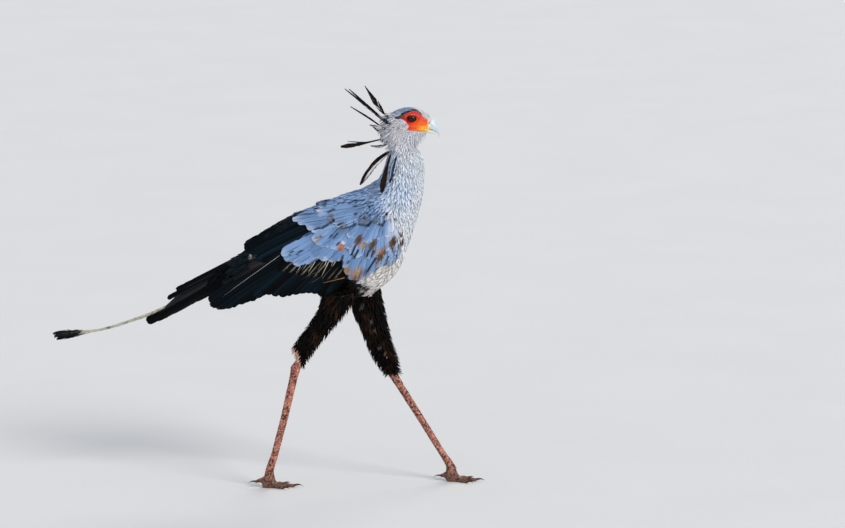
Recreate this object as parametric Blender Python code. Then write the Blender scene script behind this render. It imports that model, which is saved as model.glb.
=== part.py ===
# Secretary bird, a still life-size model of a walking bird.
# The bird faces +X, its left side is +Y, and it stands on the plane z = 0.
# Lengths in the tables are millimetres and are turned into metres as meshes are made.
import math

import bmesh
import bpy
from mathutils import Vector

MM = 0.001
GAP = 0.3
GUARD = 0.6
COLLECTION = "secretary_bird"
GUIDES = "guides"

# Driving sizes
EYE_RADIUS = 12.5
EYE_CENTRE = (359.0, 19.0, 938.0)
ORBIT_CENTRE = (360.0, 37.0, 938.0)
ORBIT_RADII = (14.5, 9.5, 9.5)
PLUME_THICKNESS = 1.8
LONG_FEATHER_THICKNESS = 1.6
PAD_HEIGHT = 34.0
FLOOR_SLAB = (300.0, 300.0, 60.0)

# Toes and claws: lengths in millimetres, the rest as shares of the toe's own width, height or length
TOE_START = 4.0
TOE_HEIGHT = 15.0
TOE_JOINTS = 3
TOE_SWELLING = 0.10
TOE_NARROWING = 0.42
TOE_FALL = 0.35
TOE_UNDER_FLOOR = 0.12
CLAW_WIDTH = 0.42
CLAW_SLIMNESS = 0.8
CLAW_BOW = 0.5
CLAW_LIFT = 1.2
CLAW_TIP_RADIUS = 0.5
CLAW_TIP_HEIGHT = 2.2
HIND_CLAW_RISE = 0.4

# Crest plumes and long tail feathers: places along the shaft run from 0 at the root to 1 at the tip
SHAFT_RADIUS = 1.1
PLUME_WIDEST = 0.78
PLUME_SWELL = 0.24
PLUME_ROUND_END = 0.9
LONG_FEATHER_WIDTH = 13.0
SPATULA_WIDTH = 20.0
SPATULA_START = 0.66
SPATULA_FULL = 0.80
SPATULA_END = 0.94
SPATULA_END_WIDTH = 0.62
LONG_FEATHER_TURN = 68.0

# Names of columns: height, reach ahead, reach behind, half width
PAD_ROWS = (
    (-3, 15, 15, 13),
    (6, 19, 18, 16),
    (14, 18, 17, 15),
    (24, 14.5, 15, 12.5),
    (PAD_HEIGHT, 12.5, 12.5, 10.5),
)

# Names of columns: top x, top z, bottom x, bottom z, half width
TRUNK_ROWS = (
    (-30, 596, -20, 566, 22),
    (12, 630, 34, 546, 42),
    (80, 678, 112, 502, 62),
    (140, 722, 190, 482, 74),
    (190, 748, 243, 482, 80),
    (233, 762, 289, 508, 82),
    (263, 779, 326, 546, 80),
    (279, 794, 352, 610, 72),
)
NECK_ROWS = (
    (285, 812, 373, 674, 60),
    (291, 832, 390, 738, 50),
    (299, 848, 395, 800, 45),
    (300, 860, 389, 846, 39),
    (287, 880, 371, 866, 35),
)
HEAD_ROWS = (
    (279, 902, 371, 873, 34),
    (284, 934, 374, 877, 34),
    (300, 949, 377, 880, 34),
    (322, 961, 380, 882, 33),
    (345, 967, 384, 886, 32),
    (368, 966, 388, 891, 29),
    (388, 958, 393, 896, 23),
    (401, 949, 398, 898, 16),
    (406, 937, 402, 900, 12),
)
UPPER_BILL_ROWS = (
    (408.8, 935, 404.8, 910.5, 11.0),
    (416, 929, 411, 907, 9.8),
    (423, 920.5, 417, 904.5, 8.3),
    (428, 911.5, 421.5, 901, 6.3),
    (431, 902, 424.8, 897, 4.4),
    (430.3, 893.5, 426, 892, 2.6),
    (427, 886.5, 425.4, 887, 0.9),
)
LOWER_BILL_ROWS = (
    (404.6, 909.6, 403.2, 900.5, 9.8),
    (410.6, 906.1, 409.5, 898.8, 8.2),
    (416.4, 903.4, 415.5, 897.4, 6.0),
    (420.5, 900.6, 420, 897.6, 3.0),
)
TAIL_ROWS = (
    (-12, 617, -5, 566, 20),
    (-87, 586, -92, 530, 30),
    (-150, 547, -160, 487, 35),
    (-188, 522, -206, 461, 35),
    (-230, 497, -246, 439, 31),
    (-262, 468, -274, 427, 24),
    (-290, 443, -298, 418, 15),
    (-318, 427, -320, 420, 5),
)
# Names of columns: top x, y, z, bottom x, y, z, outward bulge, inward bulge
WING_ROWS = (
    (334, 47, 684, 339, 54, 630, 10, 8),
    (309, 60, 732, 322, 62, 587, 22, 18),
    (258, 58, 752, 273, 74, 560, 29, 28),
    (203, 48, 744, 218, 78, 537, 33, 32),
    (140, 27, 724, 165, 76, 530, 37, 34),
    (77, 15, 697, 97, 72, 511, 35, 26),
    (14, 13, 667, 32, 65, 493, 27, 12),
    (-29, 13, 636, -19, 58, 496, 19, 5),
    (-60, 14, 605, -49, 54, 486, 13, 3),
    (-84, 32, 556, -79, 52, 473, 8, 2),
    (-115, 39, 519, -110, 48, 458, 5, 1.5),
    (-140, 42, 486, -134, 45, 453, 3, 1),
    (-152, 43, 473, -149, 44, 460, 1.5, 0.6),
)
# Names of columns: front x, z, rear x, z, middle y, half width
RIGHT_THIGH_ROWS = (
    (232, 590, 150, 590, -38, 28),
    (226, 540, 136, 540, -50, 36),
    (222, 502, 133, 502, -56, 40),
    (196, 466, 124, 460, -58, 36),
    (170, 435, 104, 426, -58, 32),
    (144, 394, 77, 388, -57, 28),
    (121, 366, 62, 368, -56, 23),
    (104, 341, 59, 352, -56, 17),
    (86, 317, 63, 330, -55, 11),
)
LEFT_THIGH_ROWS = (
    (262, 590, 180, 590, 38, 28),
    (270, 540, 190, 540, 50, 36),
    (280, 492, 204, 492, 56, 40),
    (289, 448, 207, 436, 58, 36),
    (296, 405, 226, 396, 59, 31),
    (309, 352, 247, 346, 59, 25),
    (322, 314, 263, 314, 58, 20),
    (325, 280, 280, 289, 58, 15),
)
# Names of columns: centre x, y, z, half width across X, half width across Y
RIGHT_SHANK_ROWS = (
    (76, -55, 330, 9, 8),
    (66, -54, 309, 13, 10.5),
    (61, -52.5, 285, 11, 9),
    (37, -47, 180, 10, 8.4),
    (12, -40.5, 84, 9.6, 8),
    (0, -38, 48, 11, 9.2),
    (-3, -36, 24, 13.5, 12),
)
LEFT_SHANK_ROWS = (
    (297, 58, 293, 9, 8),
    (312, 57.5, 272, 12, 10),
    (328, 56, 246, 10.4, 9),
    (385, 52, 155, 9.4, 8),
    (436, 48.5, 72, 9, 7.6),
    (452, 47, 48, 10.5, 9),
    (464, 46, 24, 13.5, 12),
)
# Names of columns: place of the foot, lean of its pad along X, then for each toe its name, turn in
# degrees, length, width, length of the claw, and height of its root over the floor
FEET = {
    "right": ((-3, -36), 2, (("middle", 2, 62, 15, 22, 0), ("inner", 38, 46, 14, 20, 0),
                             ("outer", -34, 44, 13, 18, 0), ("hind", 184, 30, 13, 20, 17))),
    "left": ((463, 46), -5, (("middle", -4, 58, 15, 20, 0), ("inner", -40, 45, 14, 20, 0),
                             ("outer", 32, 43, 13, 18, 0), ("hind", 176, 28, 13, 19, 14))),
}
# Names of columns: root, middle, tip, widest full width, turn of the vane about its shaft
CREST_PLUMES = {
    "crest_plume_high": ((306, -8, 927), (271, -8, 974), (241, -8, 1020), 15, 20),
    "crest_plume_near": ((299, -14, 921), (246, -26, 970), (191, -30, 1015), 9, 65),
    "crest_plume_mid": ((302, 8, 922), (252, 12, 963), (201, 14, 1009), 9, 70),
    "crest_plume_far": ((294, 12, 904), (253, 24, 933), (204, 34, 962), 8, 65),
    "crest_plume_short_a": ((296, -22, 909), (273, -32, 919), (253, -40, 925), 8, 50),
    "crest_plume_short_b": ((297, -2, 892), (276, -12, 907), (258, -18, 921), 8, 40),
    "crest_plume_short_c": ((299, -16, 874), (276, -24, 868), (255, -28, 871), 8, 50),
    "crest_plume_level": ((294, -12, 889), (233, -16, 874), (180, -18, 867), 12, 15),
    "crest_plume_level_far": ((296, 14, 882), (243, 30, 872), (196, 38, 873), 9, 75),
    "crest_plume_low": ((308, -24, 858), (262, -34, 820), (229, -36, 773), 15, 5),
    "crest_plume_low_far": ((308, 24, 856), (268, 44, 820), (240, 52, 778), 13, 5),
    "crest_plume_hanging": ((308, -34, 857), (294, -53, 811), (283, -70, 757), 15, 0),
    "crest_plume_neck": ((322, -48, 850), (310, -57, 820), (304, -70, 782), 12, 0),
    "crest_plume_neck_far": ((308, 36, 855), (296, 55, 812), (288, 72, 762), 13, 0),
}
LONG_FEATHERS = {
    "long_tail_feather_right": ((-258, -8, 457), (-402, -10, 408), (-478, -11, 395), (-546, -13, 390)),
    "long_tail_feather_left": ((-258, 8, 451), (-398, 9, 403), (-474, 10, 388), (-540, 12, 378)),
}

FINISHES = {
    "grey_plumage": ((0.42, 0.52, 0.66), 0.75),
    "black_plumage": ((0.015, 0.018, 0.022), 0.6),
    "dark_thigh": ((0.03, 0.018, 0.012), 0.85),
    "bill_horn": ((0.62, 0.68, 0.74), 0.35),
    "eye_gloss": ((0.02, 0.014, 0.01), 0.08),
    "leg_scale": ((0.55, 0.3, 0.24), 0.6),
    "claw_horn": ((0.03, 0.025, 0.022), 0.4),
    "crest_black": ((0.012, 0.012, 0.014), 0.6),
    "long_feather": ((0.6, 0.58, 0.52), 0.7),
}


def clear_scene():
    for old in list(bpy.data.objects):
        bpy.data.objects.remove(old, do_unlink=True)


def new_collection(name):
    collection = bpy.data.collections.new(name)
    bpy.context.scene.collection.children.link(collection)
    return collection


def finish_material(name):
    known = bpy.data.materials.get(name)
    if known:
        return known
    colour, roughness = FINISHES[name]
    material = bpy.data.materials.new(name)
    material.use_nodes = True
    shader = material.node_tree.nodes["Principled BSDF"]
    shader.inputs["Base Color"].default_value = (*colour, 1.0)
    shader.inputs["Roughness"].default_value = roughness
    shader.inputs["Metallic"].default_value = 0.0
    return material


def blend_rows(rows, steps):
    """Rows read off a smooth curve through the given rows, with `steps` spans between each two."""
    last = len(rows) - 1
    smooth = []
    for index in range(last):
        before = rows[max(index - 1, 0)]
        start = rows[index]
        end = rows[index + 1]
        after = rows[min(index + 2, last)]
        for step in range(steps):
            t = step / steps
            smooth.append(tuple(
                0.5 * (2 * b + (c - a) * t + (2 * a - 5 * b + 4 * c - d) * t ** 2
                       + (3 * b - a - 3 * c + d) * t ** 3)
                for a, b, c, d in zip(before, start, end, after)))
    smooth.append(tuple(float(value) for value in rows[last]))
    return smooth


def rounded(value, power):
    return math.copysign(abs(value) ** power, value)


def section(top, bottom, side, half_width, count, power=1.0, lower_power=None):
    """A closed ring through `top` and `bottom`, `half_width` wide along `side`."""
    centre = (top + bottom) / 2
    up = (top - bottom) / 2
    ring = []
    for index in range(count):
        angle = 2 * math.pi * index / count
        bend = power if math.cos(angle) >= 0 or lower_power is None else lower_power
        ring.append(centre + up * rounded(math.cos(angle), bend)
                    + side * half_width * rounded(math.sin(angle), bend))
    return ring


def loft(rings):
    """A closed body through rings of equal count, with a flat face on each end."""
    body = bmesh.new()
    rows = [[body.verts.new(point * MM) for point in ring] for ring in rings]
    count = len(rows[0])
    for lower, upper in zip(rows, rows[1:]):
        for index in range(count):
            after = (index + 1) % count
            body.faces.new((lower[index], lower[after], upper[after], upper[index]))
    body.faces.new(list(reversed(rows[0])))
    body.faces.new(rows[-1])
    bmesh.ops.triangulate(body, faces=body.faces)
    bmesh.ops.recalc_face_normals(body, faces=body.faces)
    if body.calc_volume(signed=True) < 0:
        bmesh.ops.reverse_faces(body, faces=body.faces)
    return body


def profile_rings(rows, steps, count, lower_power=None):
    """Rings of a body that is even about the plane y = 0."""
    across = Vector((0, 1, 0))
    rings = []
    for top_x, top_z, low_x, low_z, half_width in blend_rows(rows, steps):
        top = Vector((top_x, 0, top_z))
        bottom = Vector((low_x, 0, low_z))
        rings.append(section(top, bottom, across, half_width, count, 1.0, lower_power))
    return rings


def shorten(rings, first=0.0, last=0.0):
    """Draw the end rings in along the body, which leaves a gap to the next piece."""
    moved = [list(ring) for ring in rings]
    for end, inner, distance in ((0, 1, first), (-1, -2, last)):
        outer_centre = sum(rings[end], Vector()) / len(rings[end])
        inner_centre = sum(rings[inner], Vector()) / len(rings[inner])
        reach = (inner_centre - outer_centre).length
        moved[end] = [a.lerp(b, distance / reach) for a, b in zip(rings[end], rings[inner])]
    return moved


def place(name, body, finish, collection):
    mesh = bpy.data.meshes.new(name)
    body.to_mesh(mesh)
    body.free()
    piece = bpy.data.objects.new(name, mesh)
    collection.objects.link(piece)
    mesh.materials.append(finish_material(finish))
    mesh.shade_smooth()
    return piece


def guard(name, rings, guides):
    """A cutter that stands clear of the body with these rings by a little more than the gap."""
    body = loft(rings)
    body.normal_update()
    for vertex in body.verts:
        vertex.co += vertex.normal * GUARD * MM
    cutter = place(name, body, "grey_plumage", guides)
    cutter.hide_render = True
    cutter.display_type = "WIRE"
    return cutter


def combine(piece, cutter, operation):
    change = piece.modifiers.new(operation.title(), "BOOLEAN")
    change.operation = operation
    change.object = cutter
    change.solver = "EXACT"
    bpy.context.view_layer.update()
    graph = bpy.context.evaluated_depsgraph_get()
    changed = bpy.data.meshes.new_from_object(piece.evaluated_get(graph))
    piece.modifiers.clear()
    piece.data = changed


def keep_largest(piece):
    """Drop the loose bits that a cut leaves, and keep the largest body."""
    body = bmesh.new()
    body.from_mesh(piece.data)
    left = set(body.verts)
    islands = []
    while left:
        seed = left.pop()
        island = {seed}
        front = [seed]
        while front:
            vertex = front.pop()
            for edge in vertex.link_edges:
                other = edge.other_vert(vertex)
                if other in left:
                    left.discard(other)
                    island.add(other)
                    front.append(other)
        islands.append(island)
    islands.sort(key=len)
    for island in islands[:-1]:
        bmesh.ops.delete(body, geom=list(island), context="VERTS")
    body.to_mesh(piece.data)
    body.free()


def carve(piece, cutters):
    for cutter in cutters:
        combine(piece, cutter, "DIFFERENCE")
    keep_largest(piece)
    piece.data.shade_smooth()
    piece.data.set_sharp_from_angle(angle=math.radians(40))


def ellipsoid(name, centre, radii, guides, columns=12, rows=8):
    body = bmesh.new()
    bmesh.ops.create_uvsphere(body, u_segments=columns, v_segments=rows, radius=1.0)
    for vertex in body.verts:
        vertex.co = Vector([(c + r * v) * MM for c, r, v in zip(centre, radii, vertex.co)])
    shape = place(name, body, "eye_gloss", guides)
    shape.hide_render = True
    shape.display_type = "WIRE"
    return shape


def build_body(parts, guides):
    """Trunk, neck and head are one smooth form, parted by thin cuts."""
    steps = 2
    count = 18
    rings = profile_rings(TRUNK_ROWS + NECK_ROWS + HEAD_ROWS, steps, count)
    neck_start = (len(TRUNK_ROWS) - 1) * steps
    head_start = neck_start + len(NECK_ROWS) * steps
    trunk = shorten(rings[:neck_start + 1], last=GAP)
    neck = shorten(rings[neck_start:head_start + 1], last=GAP)
    head = rings[head_start:]
    place("trunk", loft(trunk), "grey_plumage", parts)
    place("neck", loft(neck), "grey_plumage", parts)
    head_piece = place("head", loft(head), "grey_plumage", parts)
    for side, name in ((-1, "right"), (1, "left")):
        x, y, z = EYE_CENTRE
        eye_place = (x, side * y, z)
        clear = EYE_RADIUS + GUARD
        socket = ellipsoid("socket_" + name, eye_place, (clear,) * 3, guides)
        orbit = ellipsoid("orbit_" + name, (ORBIT_CENTRE[0], side * ORBIT_CENTRE[1], ORBIT_CENTRE[2]),
                          ORBIT_RADII, guides)
        carve(head_piece, (socket, orbit))
        eye = ellipsoid("eye_" + name, eye_place, (EYE_RADIUS,) * 3, parts)
        eye.hide_render = False
        eye.display_type = "TEXTURED"
    return guard("body_guard", rings, guides)


def build_bill(parts):
    upper = profile_rings(UPPER_BILL_ROWS, 2, 14, 0.55)
    lower = profile_rings(LOWER_BILL_ROWS, 2, 12, 1.0)
    place("upper_bill", loft(upper), "bill_horn", parts)
    place("lower_bill", loft(lower), "bill_horn", parts)


def build_tail(parts, guides, body_clearance):
    rings = profile_rings(TAIL_ROWS, 2, 12, 0.5)
    tail = place("tail", loft(rings), "black_plumage", parts)
    carve(tail, (body_clearance,))
    return guard("tail_guard", rings, guides)


def wing_rings(side, steps, count):
    rings = []
    rows = blend_rows(WING_ROWS, steps)
    centres = [Vector(((r[0] + r[3]) / 2, side * (r[1] + r[4]) / 2, (r[2] + r[5]) / 2)) for r in rows]
    for index, row in enumerate(rows):
        top = Vector((row[0], side * row[1], row[2]))
        bottom = Vector((row[3], side * row[4], row[5]))
        ahead = centres[max(index - 1, 0)] - centres[min(index + 1, len(rows) - 1)]
        outward = ahead.cross(top - bottom).normalized() * -side
        if outward.y * side < 0:
            outward = -outward
        centre = (top + bottom) / 2
        ring = []
        for step in range(count):
            angle = 2 * math.pi * step / count
            bulge = row[6] if math.sin(angle) >= 0 else row[7]
            point = centre + (top - bottom) / 2 * math.cos(angle) + outward * bulge * math.sin(angle)
            if point.y * side < GUARD:
                point.y = GUARD * side
            ring.append(point)
        rings.append(ring)
    return rings


def build_wing(side, name, parts, guides, clearances):
    rings = wing_rings(side, 1, 14)
    wing = place("wing_" + name, loft(rings), "grey_plumage", parts)
    carve(wing, clearances)
    return guard("wing_guard_" + name, rings, guides)


def build_thigh(rows, name, parts, guides, clearances):
    rings = []
    for front_x, front_z, rear_x, rear_z, middle_y, half_width in blend_rows(rows, 1):
        front = Vector((front_x, middle_y, front_z))
        rear = Vector((rear_x, middle_y, rear_z))
        rings.append(section(front, rear, Vector((0, 1, 0)), half_width, 14))
    thigh = place("thigh_" + name, loft(rings), "dark_thigh", parts)
    carve(thigh, clearances)
    return guard("thigh_guard_" + name, rings, guides)


def slab_below(height, name, place_x, place_y, guides):
    """A wide cutter whose upper face is at this height."""
    slab = bmesh.new()
    bmesh.ops.create_cube(slab, size=1.0)
    for vertex in slab.verts:
        vertex.co = Vector([v * s * MM for v, s in zip(vertex.co, FLOOR_SLAB)])
        vertex.co += Vector((place_x, place_y, height - FLOOR_SLAB[2] / 2)) * MM
    cutter = place(name, slab, "leg_scale", guides)
    cutter.hide_render = True
    cutter.display_type = "WIRE"
    return cutter


def build_shank(rows, name, parts, guides, thigh_clearance):
    rings = []
    smooth = blend_rows(rows, 1)
    centres = [Vector(row[:3]) for row in smooth]
    for index, row in enumerate(smooth):
        along = centres[min(index + 1, len(smooth) - 1)] - centres[max(index - 1, 0)]
        forward = Vector((0, 1, 0)).cross(along).normalized()
        front = centres[index] + forward * row[3]
        rear = centres[index] - forward * row[3]
        rings.append(section(front, rear, Vector((0, 1, 0)), row[4], 12))
    shank = place("shank_" + name, loft(rings), "leg_scale", parts)
    ankle = slab_below(PAD_HEIGHT + GAP, "ankle_guide_" + name, rows[-1][0], rows[-1][1], guides)
    carve(shank, (thigh_clearance, ankle))


def toe_rings(origin, turn, length, width):
    """Rings of a toe, with a swelling at each joint."""
    along = Vector((math.cos(turn), math.sin(turn), 0))
    across = Vector((-along.y, along.x, 0))
    rings = []
    stations = 7
    for step in range(stations + 1):
        t = step / stations
        swell = 1.0 + TOE_SWELLING * math.cos(t * TOE_JOINTS * 2 * math.pi)
        half = width / 2 * swell * (1.0 - TOE_NARROWING * t)
        height = TOE_HEIGHT * swell * (1.0 - TOE_FALL * t)
        base = origin + along * (length * t) + Vector((0, 0, -TOE_FALL * origin.z * t))
        top = base + Vector((0, 0, height))
        bottom = base + Vector((0, 0, -TOE_UNDER_FLOOR * height))
        rings.append(section(top, bottom, across, half, 10))
    return rings


def claw_rings(root, turn, length, thickness, drop):
    """Rings of a claw: a curved horn that bows up and comes down by `drop` to its tip."""
    along = Vector((math.cos(turn), math.sin(turn), 0))
    across = Vector((-along.y, along.x, 0))
    rings = []
    stations = 5
    for step in range(stations + 1):
        t = step / stations
        rise = thickness * CLAW_BOW * math.sin(math.pi * t) - drop * t ** 2
        centre = root + along * (length * t) + Vector((0, 0, rise))
        half = max(thickness / 2 * (1 - t) ** 0.75, CLAW_TIP_RADIUS)
        up = Vector((0, 0, half))
        rings.append(section(centre + up, centre - up, across, half * CLAW_SLIMNESS, 6))
    return rings


def build_foot(name, parts, guides):
    (foot_x, foot_y), lean, toes = FEET[name]
    centre = Vector((foot_x, foot_y, 0))
    pad_rings = []
    for height, front, rear, half in PAD_ROWS:
        level = centre + Vector((lean * height / PAD_HEIGHT, 0, height))
        pad_rings.append(section(level + Vector((front, 0, 0)), level - Vector((rear, 0, 0)),
                                 Vector((0, 1, 0)), half, 14))
    foot = place("foot_" + name, loft(pad_rings), "leg_scale", parts)
    for toe_name, degrees, length, width, claw_length, root_height in toes:
        turn = math.radians(degrees)
        along = Vector((math.cos(turn), math.sin(turn), 0))
        toe_root = centre + along * TOE_START + Vector((0, 0, root_height))
        toe = place("toe_guide_" + toe_name + name, loft(toe_rings(toe_root, turn, length, width)),
                    "leg_scale", guides)
        toe.hide_render = True
        toe.display_type = "WIRE"
        combine(foot, toe, "UNION")
        claw_thickness = width * CLAW_WIDTH
        claw_lift = claw_thickness / 2 + CLAW_LIFT - TOE_FALL * root_height
        claw_root = toe_root + along * (length + GAP) + Vector((0, 0, claw_lift))
        drop = claw_root.z - CLAW_TIP_HEIGHT - HIND_CLAW_RISE * root_height
        place("claw_" + name + "_" + toe_name,
              loft(claw_rings(claw_root, turn, claw_length, claw_thickness, drop)), "claw_horn", parts)
    carve(foot, (slab_below(0, "floor_guide_" + name, foot_x, foot_y, guides),))


def vane_width(t, full):
    """Half width of a plume along its shaft: slim at the root, widest near the tip."""
    swell = math.exp(-((t - PLUME_WIDEST) / PLUME_SWELL) ** 2)
    rounding = max(t - PLUME_ROUND_END, 0) / (1 - PLUME_ROUND_END)
    end = math.sqrt(max(1 - 0.9 * rounding ** 2, 0))
    return (SHAFT_RADIUS + (full / 2 - SHAFT_RADIUS) * swell) * end


def blade_rings(points, widths, turns, thickness):
    """Rings of a flat blade along `points`; a turn of 0 shows the flat of it from the side."""
    rings = []
    last = len(points) - 1
    for index, point in enumerate(points):
        along = (points[min(index + 1, last)] - points[max(index - 1, 0)]).normalized()
        level = Vector((0, 1, 0)).cross(along).normalized()
        beside = along.cross(level).normalized()
        turn = turns[index]
        flat = level * math.cos(turn) + beside * math.sin(turn)
        thin = along.cross(flat).normalized()
        rings.append(section(point + flat * widths[index], point - flat * widths[index],
                             thin, thickness / 2, 6))
    return rings


def build_crest(parts, body_clearance):
    for name, (root, middle, tip, width, degrees) in CREST_PLUMES.items():
        rows = blend_rows((root, middle, tip), 4)
        points = [Vector(row) for row in rows]
        last = len(points) - 1
        widths = [vane_width(index / last, width) for index in range(last + 1)]
        turns = [math.radians(degrees)] * (last + 1)
        plume = place(name, loft(blade_rings(points, widths, turns, PLUME_THICKNESS)), "crest_black", parts)
        carve(plume, (body_clearance,))


def build_long_feathers(parts, tail_clearance):
    for name, stations in LONG_FEATHERS.items():
        points = [Vector(row) for row in blend_rows(stations, 6)]
        last = len(points) - 1
        widths = []
        turns = []
        for index in range(last + 1):
            t = index / last
            tip = min(max((t - SPATULA_START) / (SPATULA_FULL - SPATULA_START), 0), 1)
            end = 1.0 if t < SPATULA_END else SPATULA_END_WIDTH
            widths.append(((1 - tip) * LONG_FEATHER_WIDTH + tip * SPATULA_WIDTH) / 2 * end)
            turns.append(math.radians(LONG_FEATHER_TURN * (1 - tip)))
        feather = place(name, loft(blade_rings(points, widths, turns, LONG_FEATHER_THICKNESS)),
                        "long_feather", parts)
        carve(feather, (tail_clearance,))


def build():
    clear_scene()
    parts = new_collection(COLLECTION)
    guides = new_collection(GUIDES)
    body_clearance = build_body(parts, guides)
    build_bill(parts)
    tail_clearance = build_tail(parts, guides, body_clearance)
    for side, name in ((-1, "right"), (1, "left")):
        wing_clearance = build_wing(side, name, parts, guides, (body_clearance, tail_clearance))
        thigh_rows = RIGHT_THIGH_ROWS if side < 0 else LEFT_THIGH_ROWS
        shank_rows = RIGHT_SHANK_ROWS if side < 0 else LEFT_SHANK_ROWS
        thigh_clearance = build_thigh(thigh_rows, name, parts, guides, (wing_clearance, body_clearance))
        build_shank(shank_rows, name, parts, guides, thigh_clearance)
        build_foot(name, parts, guides)
    build_crest(parts, body_clearance)
    build_long_feathers(parts, tail_clearance)


build()
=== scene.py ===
"""A walking secretary bird: one skin under the feathers, then bill, eyes, claws, crest and long feathers."""
import itertools
import math

import bmesh
import bpy
import numpy as np
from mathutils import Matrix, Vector
from mathutils.bvhtree import BVHTree


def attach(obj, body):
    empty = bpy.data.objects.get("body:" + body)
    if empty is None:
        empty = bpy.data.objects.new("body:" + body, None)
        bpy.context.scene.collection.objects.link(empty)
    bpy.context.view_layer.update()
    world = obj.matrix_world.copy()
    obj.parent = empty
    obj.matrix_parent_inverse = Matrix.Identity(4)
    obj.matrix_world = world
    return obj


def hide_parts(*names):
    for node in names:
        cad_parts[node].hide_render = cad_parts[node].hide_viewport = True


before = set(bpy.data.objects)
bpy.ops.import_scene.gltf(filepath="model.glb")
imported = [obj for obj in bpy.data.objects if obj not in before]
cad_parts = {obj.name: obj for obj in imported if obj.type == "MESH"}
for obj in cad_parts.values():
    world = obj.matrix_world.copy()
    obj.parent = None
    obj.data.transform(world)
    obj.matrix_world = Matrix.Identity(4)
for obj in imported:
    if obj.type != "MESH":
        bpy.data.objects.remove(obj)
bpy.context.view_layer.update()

MM = 0.001
rng = np.random.default_rng(7)

# The photo's frame: its width in pixels, the size of a pixel at the bird, and the camera's place
PHOTO_WIDTH = 845
PIXEL = 0.00252
LOOK_DOWN = math.radians(9.0)
CAMERA_DISTANCE = 14.0
AIM = Vector((0.3856, 0.0, 0.5664))

FLESH = ("head", "neck", "trunk", "wing_right", "wing_left", "tail", "thigh_right", "thigh_left",
         "shank_right", "shank_left", "foot_right", "foot_left")
SIDES = (("right", -1.0), ("left", 1.0))
TOES = ("middle", "inner", "outer", "hind")

# Skin: size of its cells, how far the plumage stands over it, and rounds of smoothing for each node
SKIN_CELL = 3.6 * MM
COAT_DEPTH = {"head": 2.6, "neck": 6.0, "trunk": 6.0, "wing": 5.0, "tail": 5.0, "thigh": 4.0, "shank": 0.0,
              "foot": 0.0}
SMOOTHING = {"head": 16, "neck": 34, "trunk": 40, "wing": 34, "tail": 16, "thigh": 12, "shank": 4, "foot": 6}

# Eye: centre, radius, half length and half height of the opening between the lids, its tilt, and the orbit
EYE = Vector((0.3590, 0.019, 0.9385))
EYE_RADIUS = 12.5 * MM
OPENING = (10.8 * MM, 6.9 * MM)
LID_THICKNESS = 1.0 * MM
EYE_TILT = math.radians(-5)
ORBIT = 19 * MM

# Height over which the thighs are tucked under the wings, and how deep they lie there
TUCK_HEIGHT = 0.50
TUCK_DEPTH = 8 * MM

# Where the skin of the head runs out under the bill
BILL_ROOT = (0.392, 0.402)

# Middle of the nostril in the side plane, in millimetres
NOSTRIL = (403.5, 926.5)

# The bare face in the side plane, in millimetres, from the rear corner over the brow to the bill and back
BARE_FACE = (
    (326, 942), (336, 946.5), (344, 951), (354, 955), (364, 957.5), (373, 956), (382, 948), (392, 938.5),
    (403, 934.5), (416, 933), (416, 896), (402, 901), (392, 905.5), (379, 907), (369, 908.5), (357, 909),
    (347, 911), (349, 916), (352, 921), (344, 930.5), (337, 937))

# The grey upper part of the folded wing in the side plane, in millimetres, over the back and round the lobes
GREY_WING = (
    (57, 692), (62, 740), (152, 800), (215, 830), (266, 850), (340, 790), (360, 690), (368, 620),
    (330, 570), (290, 548), (255, 535), (208, 530), (190, 556), (172, 598), (140, 585), (90, 583),
    (46, 577), (26, 592), (31, 610), (52, 625), (77, 646), (109, 660), (97, 672), (82, 688))

# The bare pale skin at the rear of the right hock in the side plane, in millimetres
HOCK = ((45, 300), (45, 366), (64, 366), (78, 345), (76, 300))

PAINTS = {
    "crown": (152, 178, 212),
    "brow": (252, 250, 252),
    "cheek": (234, 230, 235),
    "throat": (238, 238, 245),
    "neck": (228, 239, 252),
    "neck_low": (198, 219, 246),
    "neck_front": (242, 248, 255),
    "breast": (244, 247, 252),
    "belly": (238, 233, 227),
    "mantle": (126, 163, 210),
    "scapular": (118, 152, 200),
    "covert": (108, 143, 190),
    "covert_pale": (152, 178, 216),
    "covert_rim": (206, 219, 240),
    "slate": (20, 28, 42),
    "smudge": (112, 116, 128),
    "brown": (92, 62, 34),
    "tan": (172, 140, 108),
    "rust": (176, 118, 84),
    "buff": (198, 190, 166),
    "olive": (92, 82, 60),
    "black": (3, 5, 8),
    "blue_black": (5, 20, 27),
    "thigh": (15, 12, 10),
    "thigh_brown": (60, 38, 23),
    "umber": (32, 31, 32),
    "leg": (184, 116, 96),
    "leg_pale": (226, 178, 160),
    "leg_brown": (66, 28, 22),
    "foot": (122, 88, 70),
    "face_red": (206, 32, 20),
    "face_dark": (104, 14, 12),
    "face_vermilion": (226, 62, 18),
    "face_orange": (240, 92, 14),
    "face_amber": (248, 148, 30),
    "face_yellow": (252, 204, 44),
    "face_lid": (246, 122, 84),
    "cere": (232, 226, 196),
    "long_pale": (214, 208, 186),
    "shaft": (150, 150, 144),
    "floor": (228, 227, 226),
    "floor_grey": (223, 222, 222),
}

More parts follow.
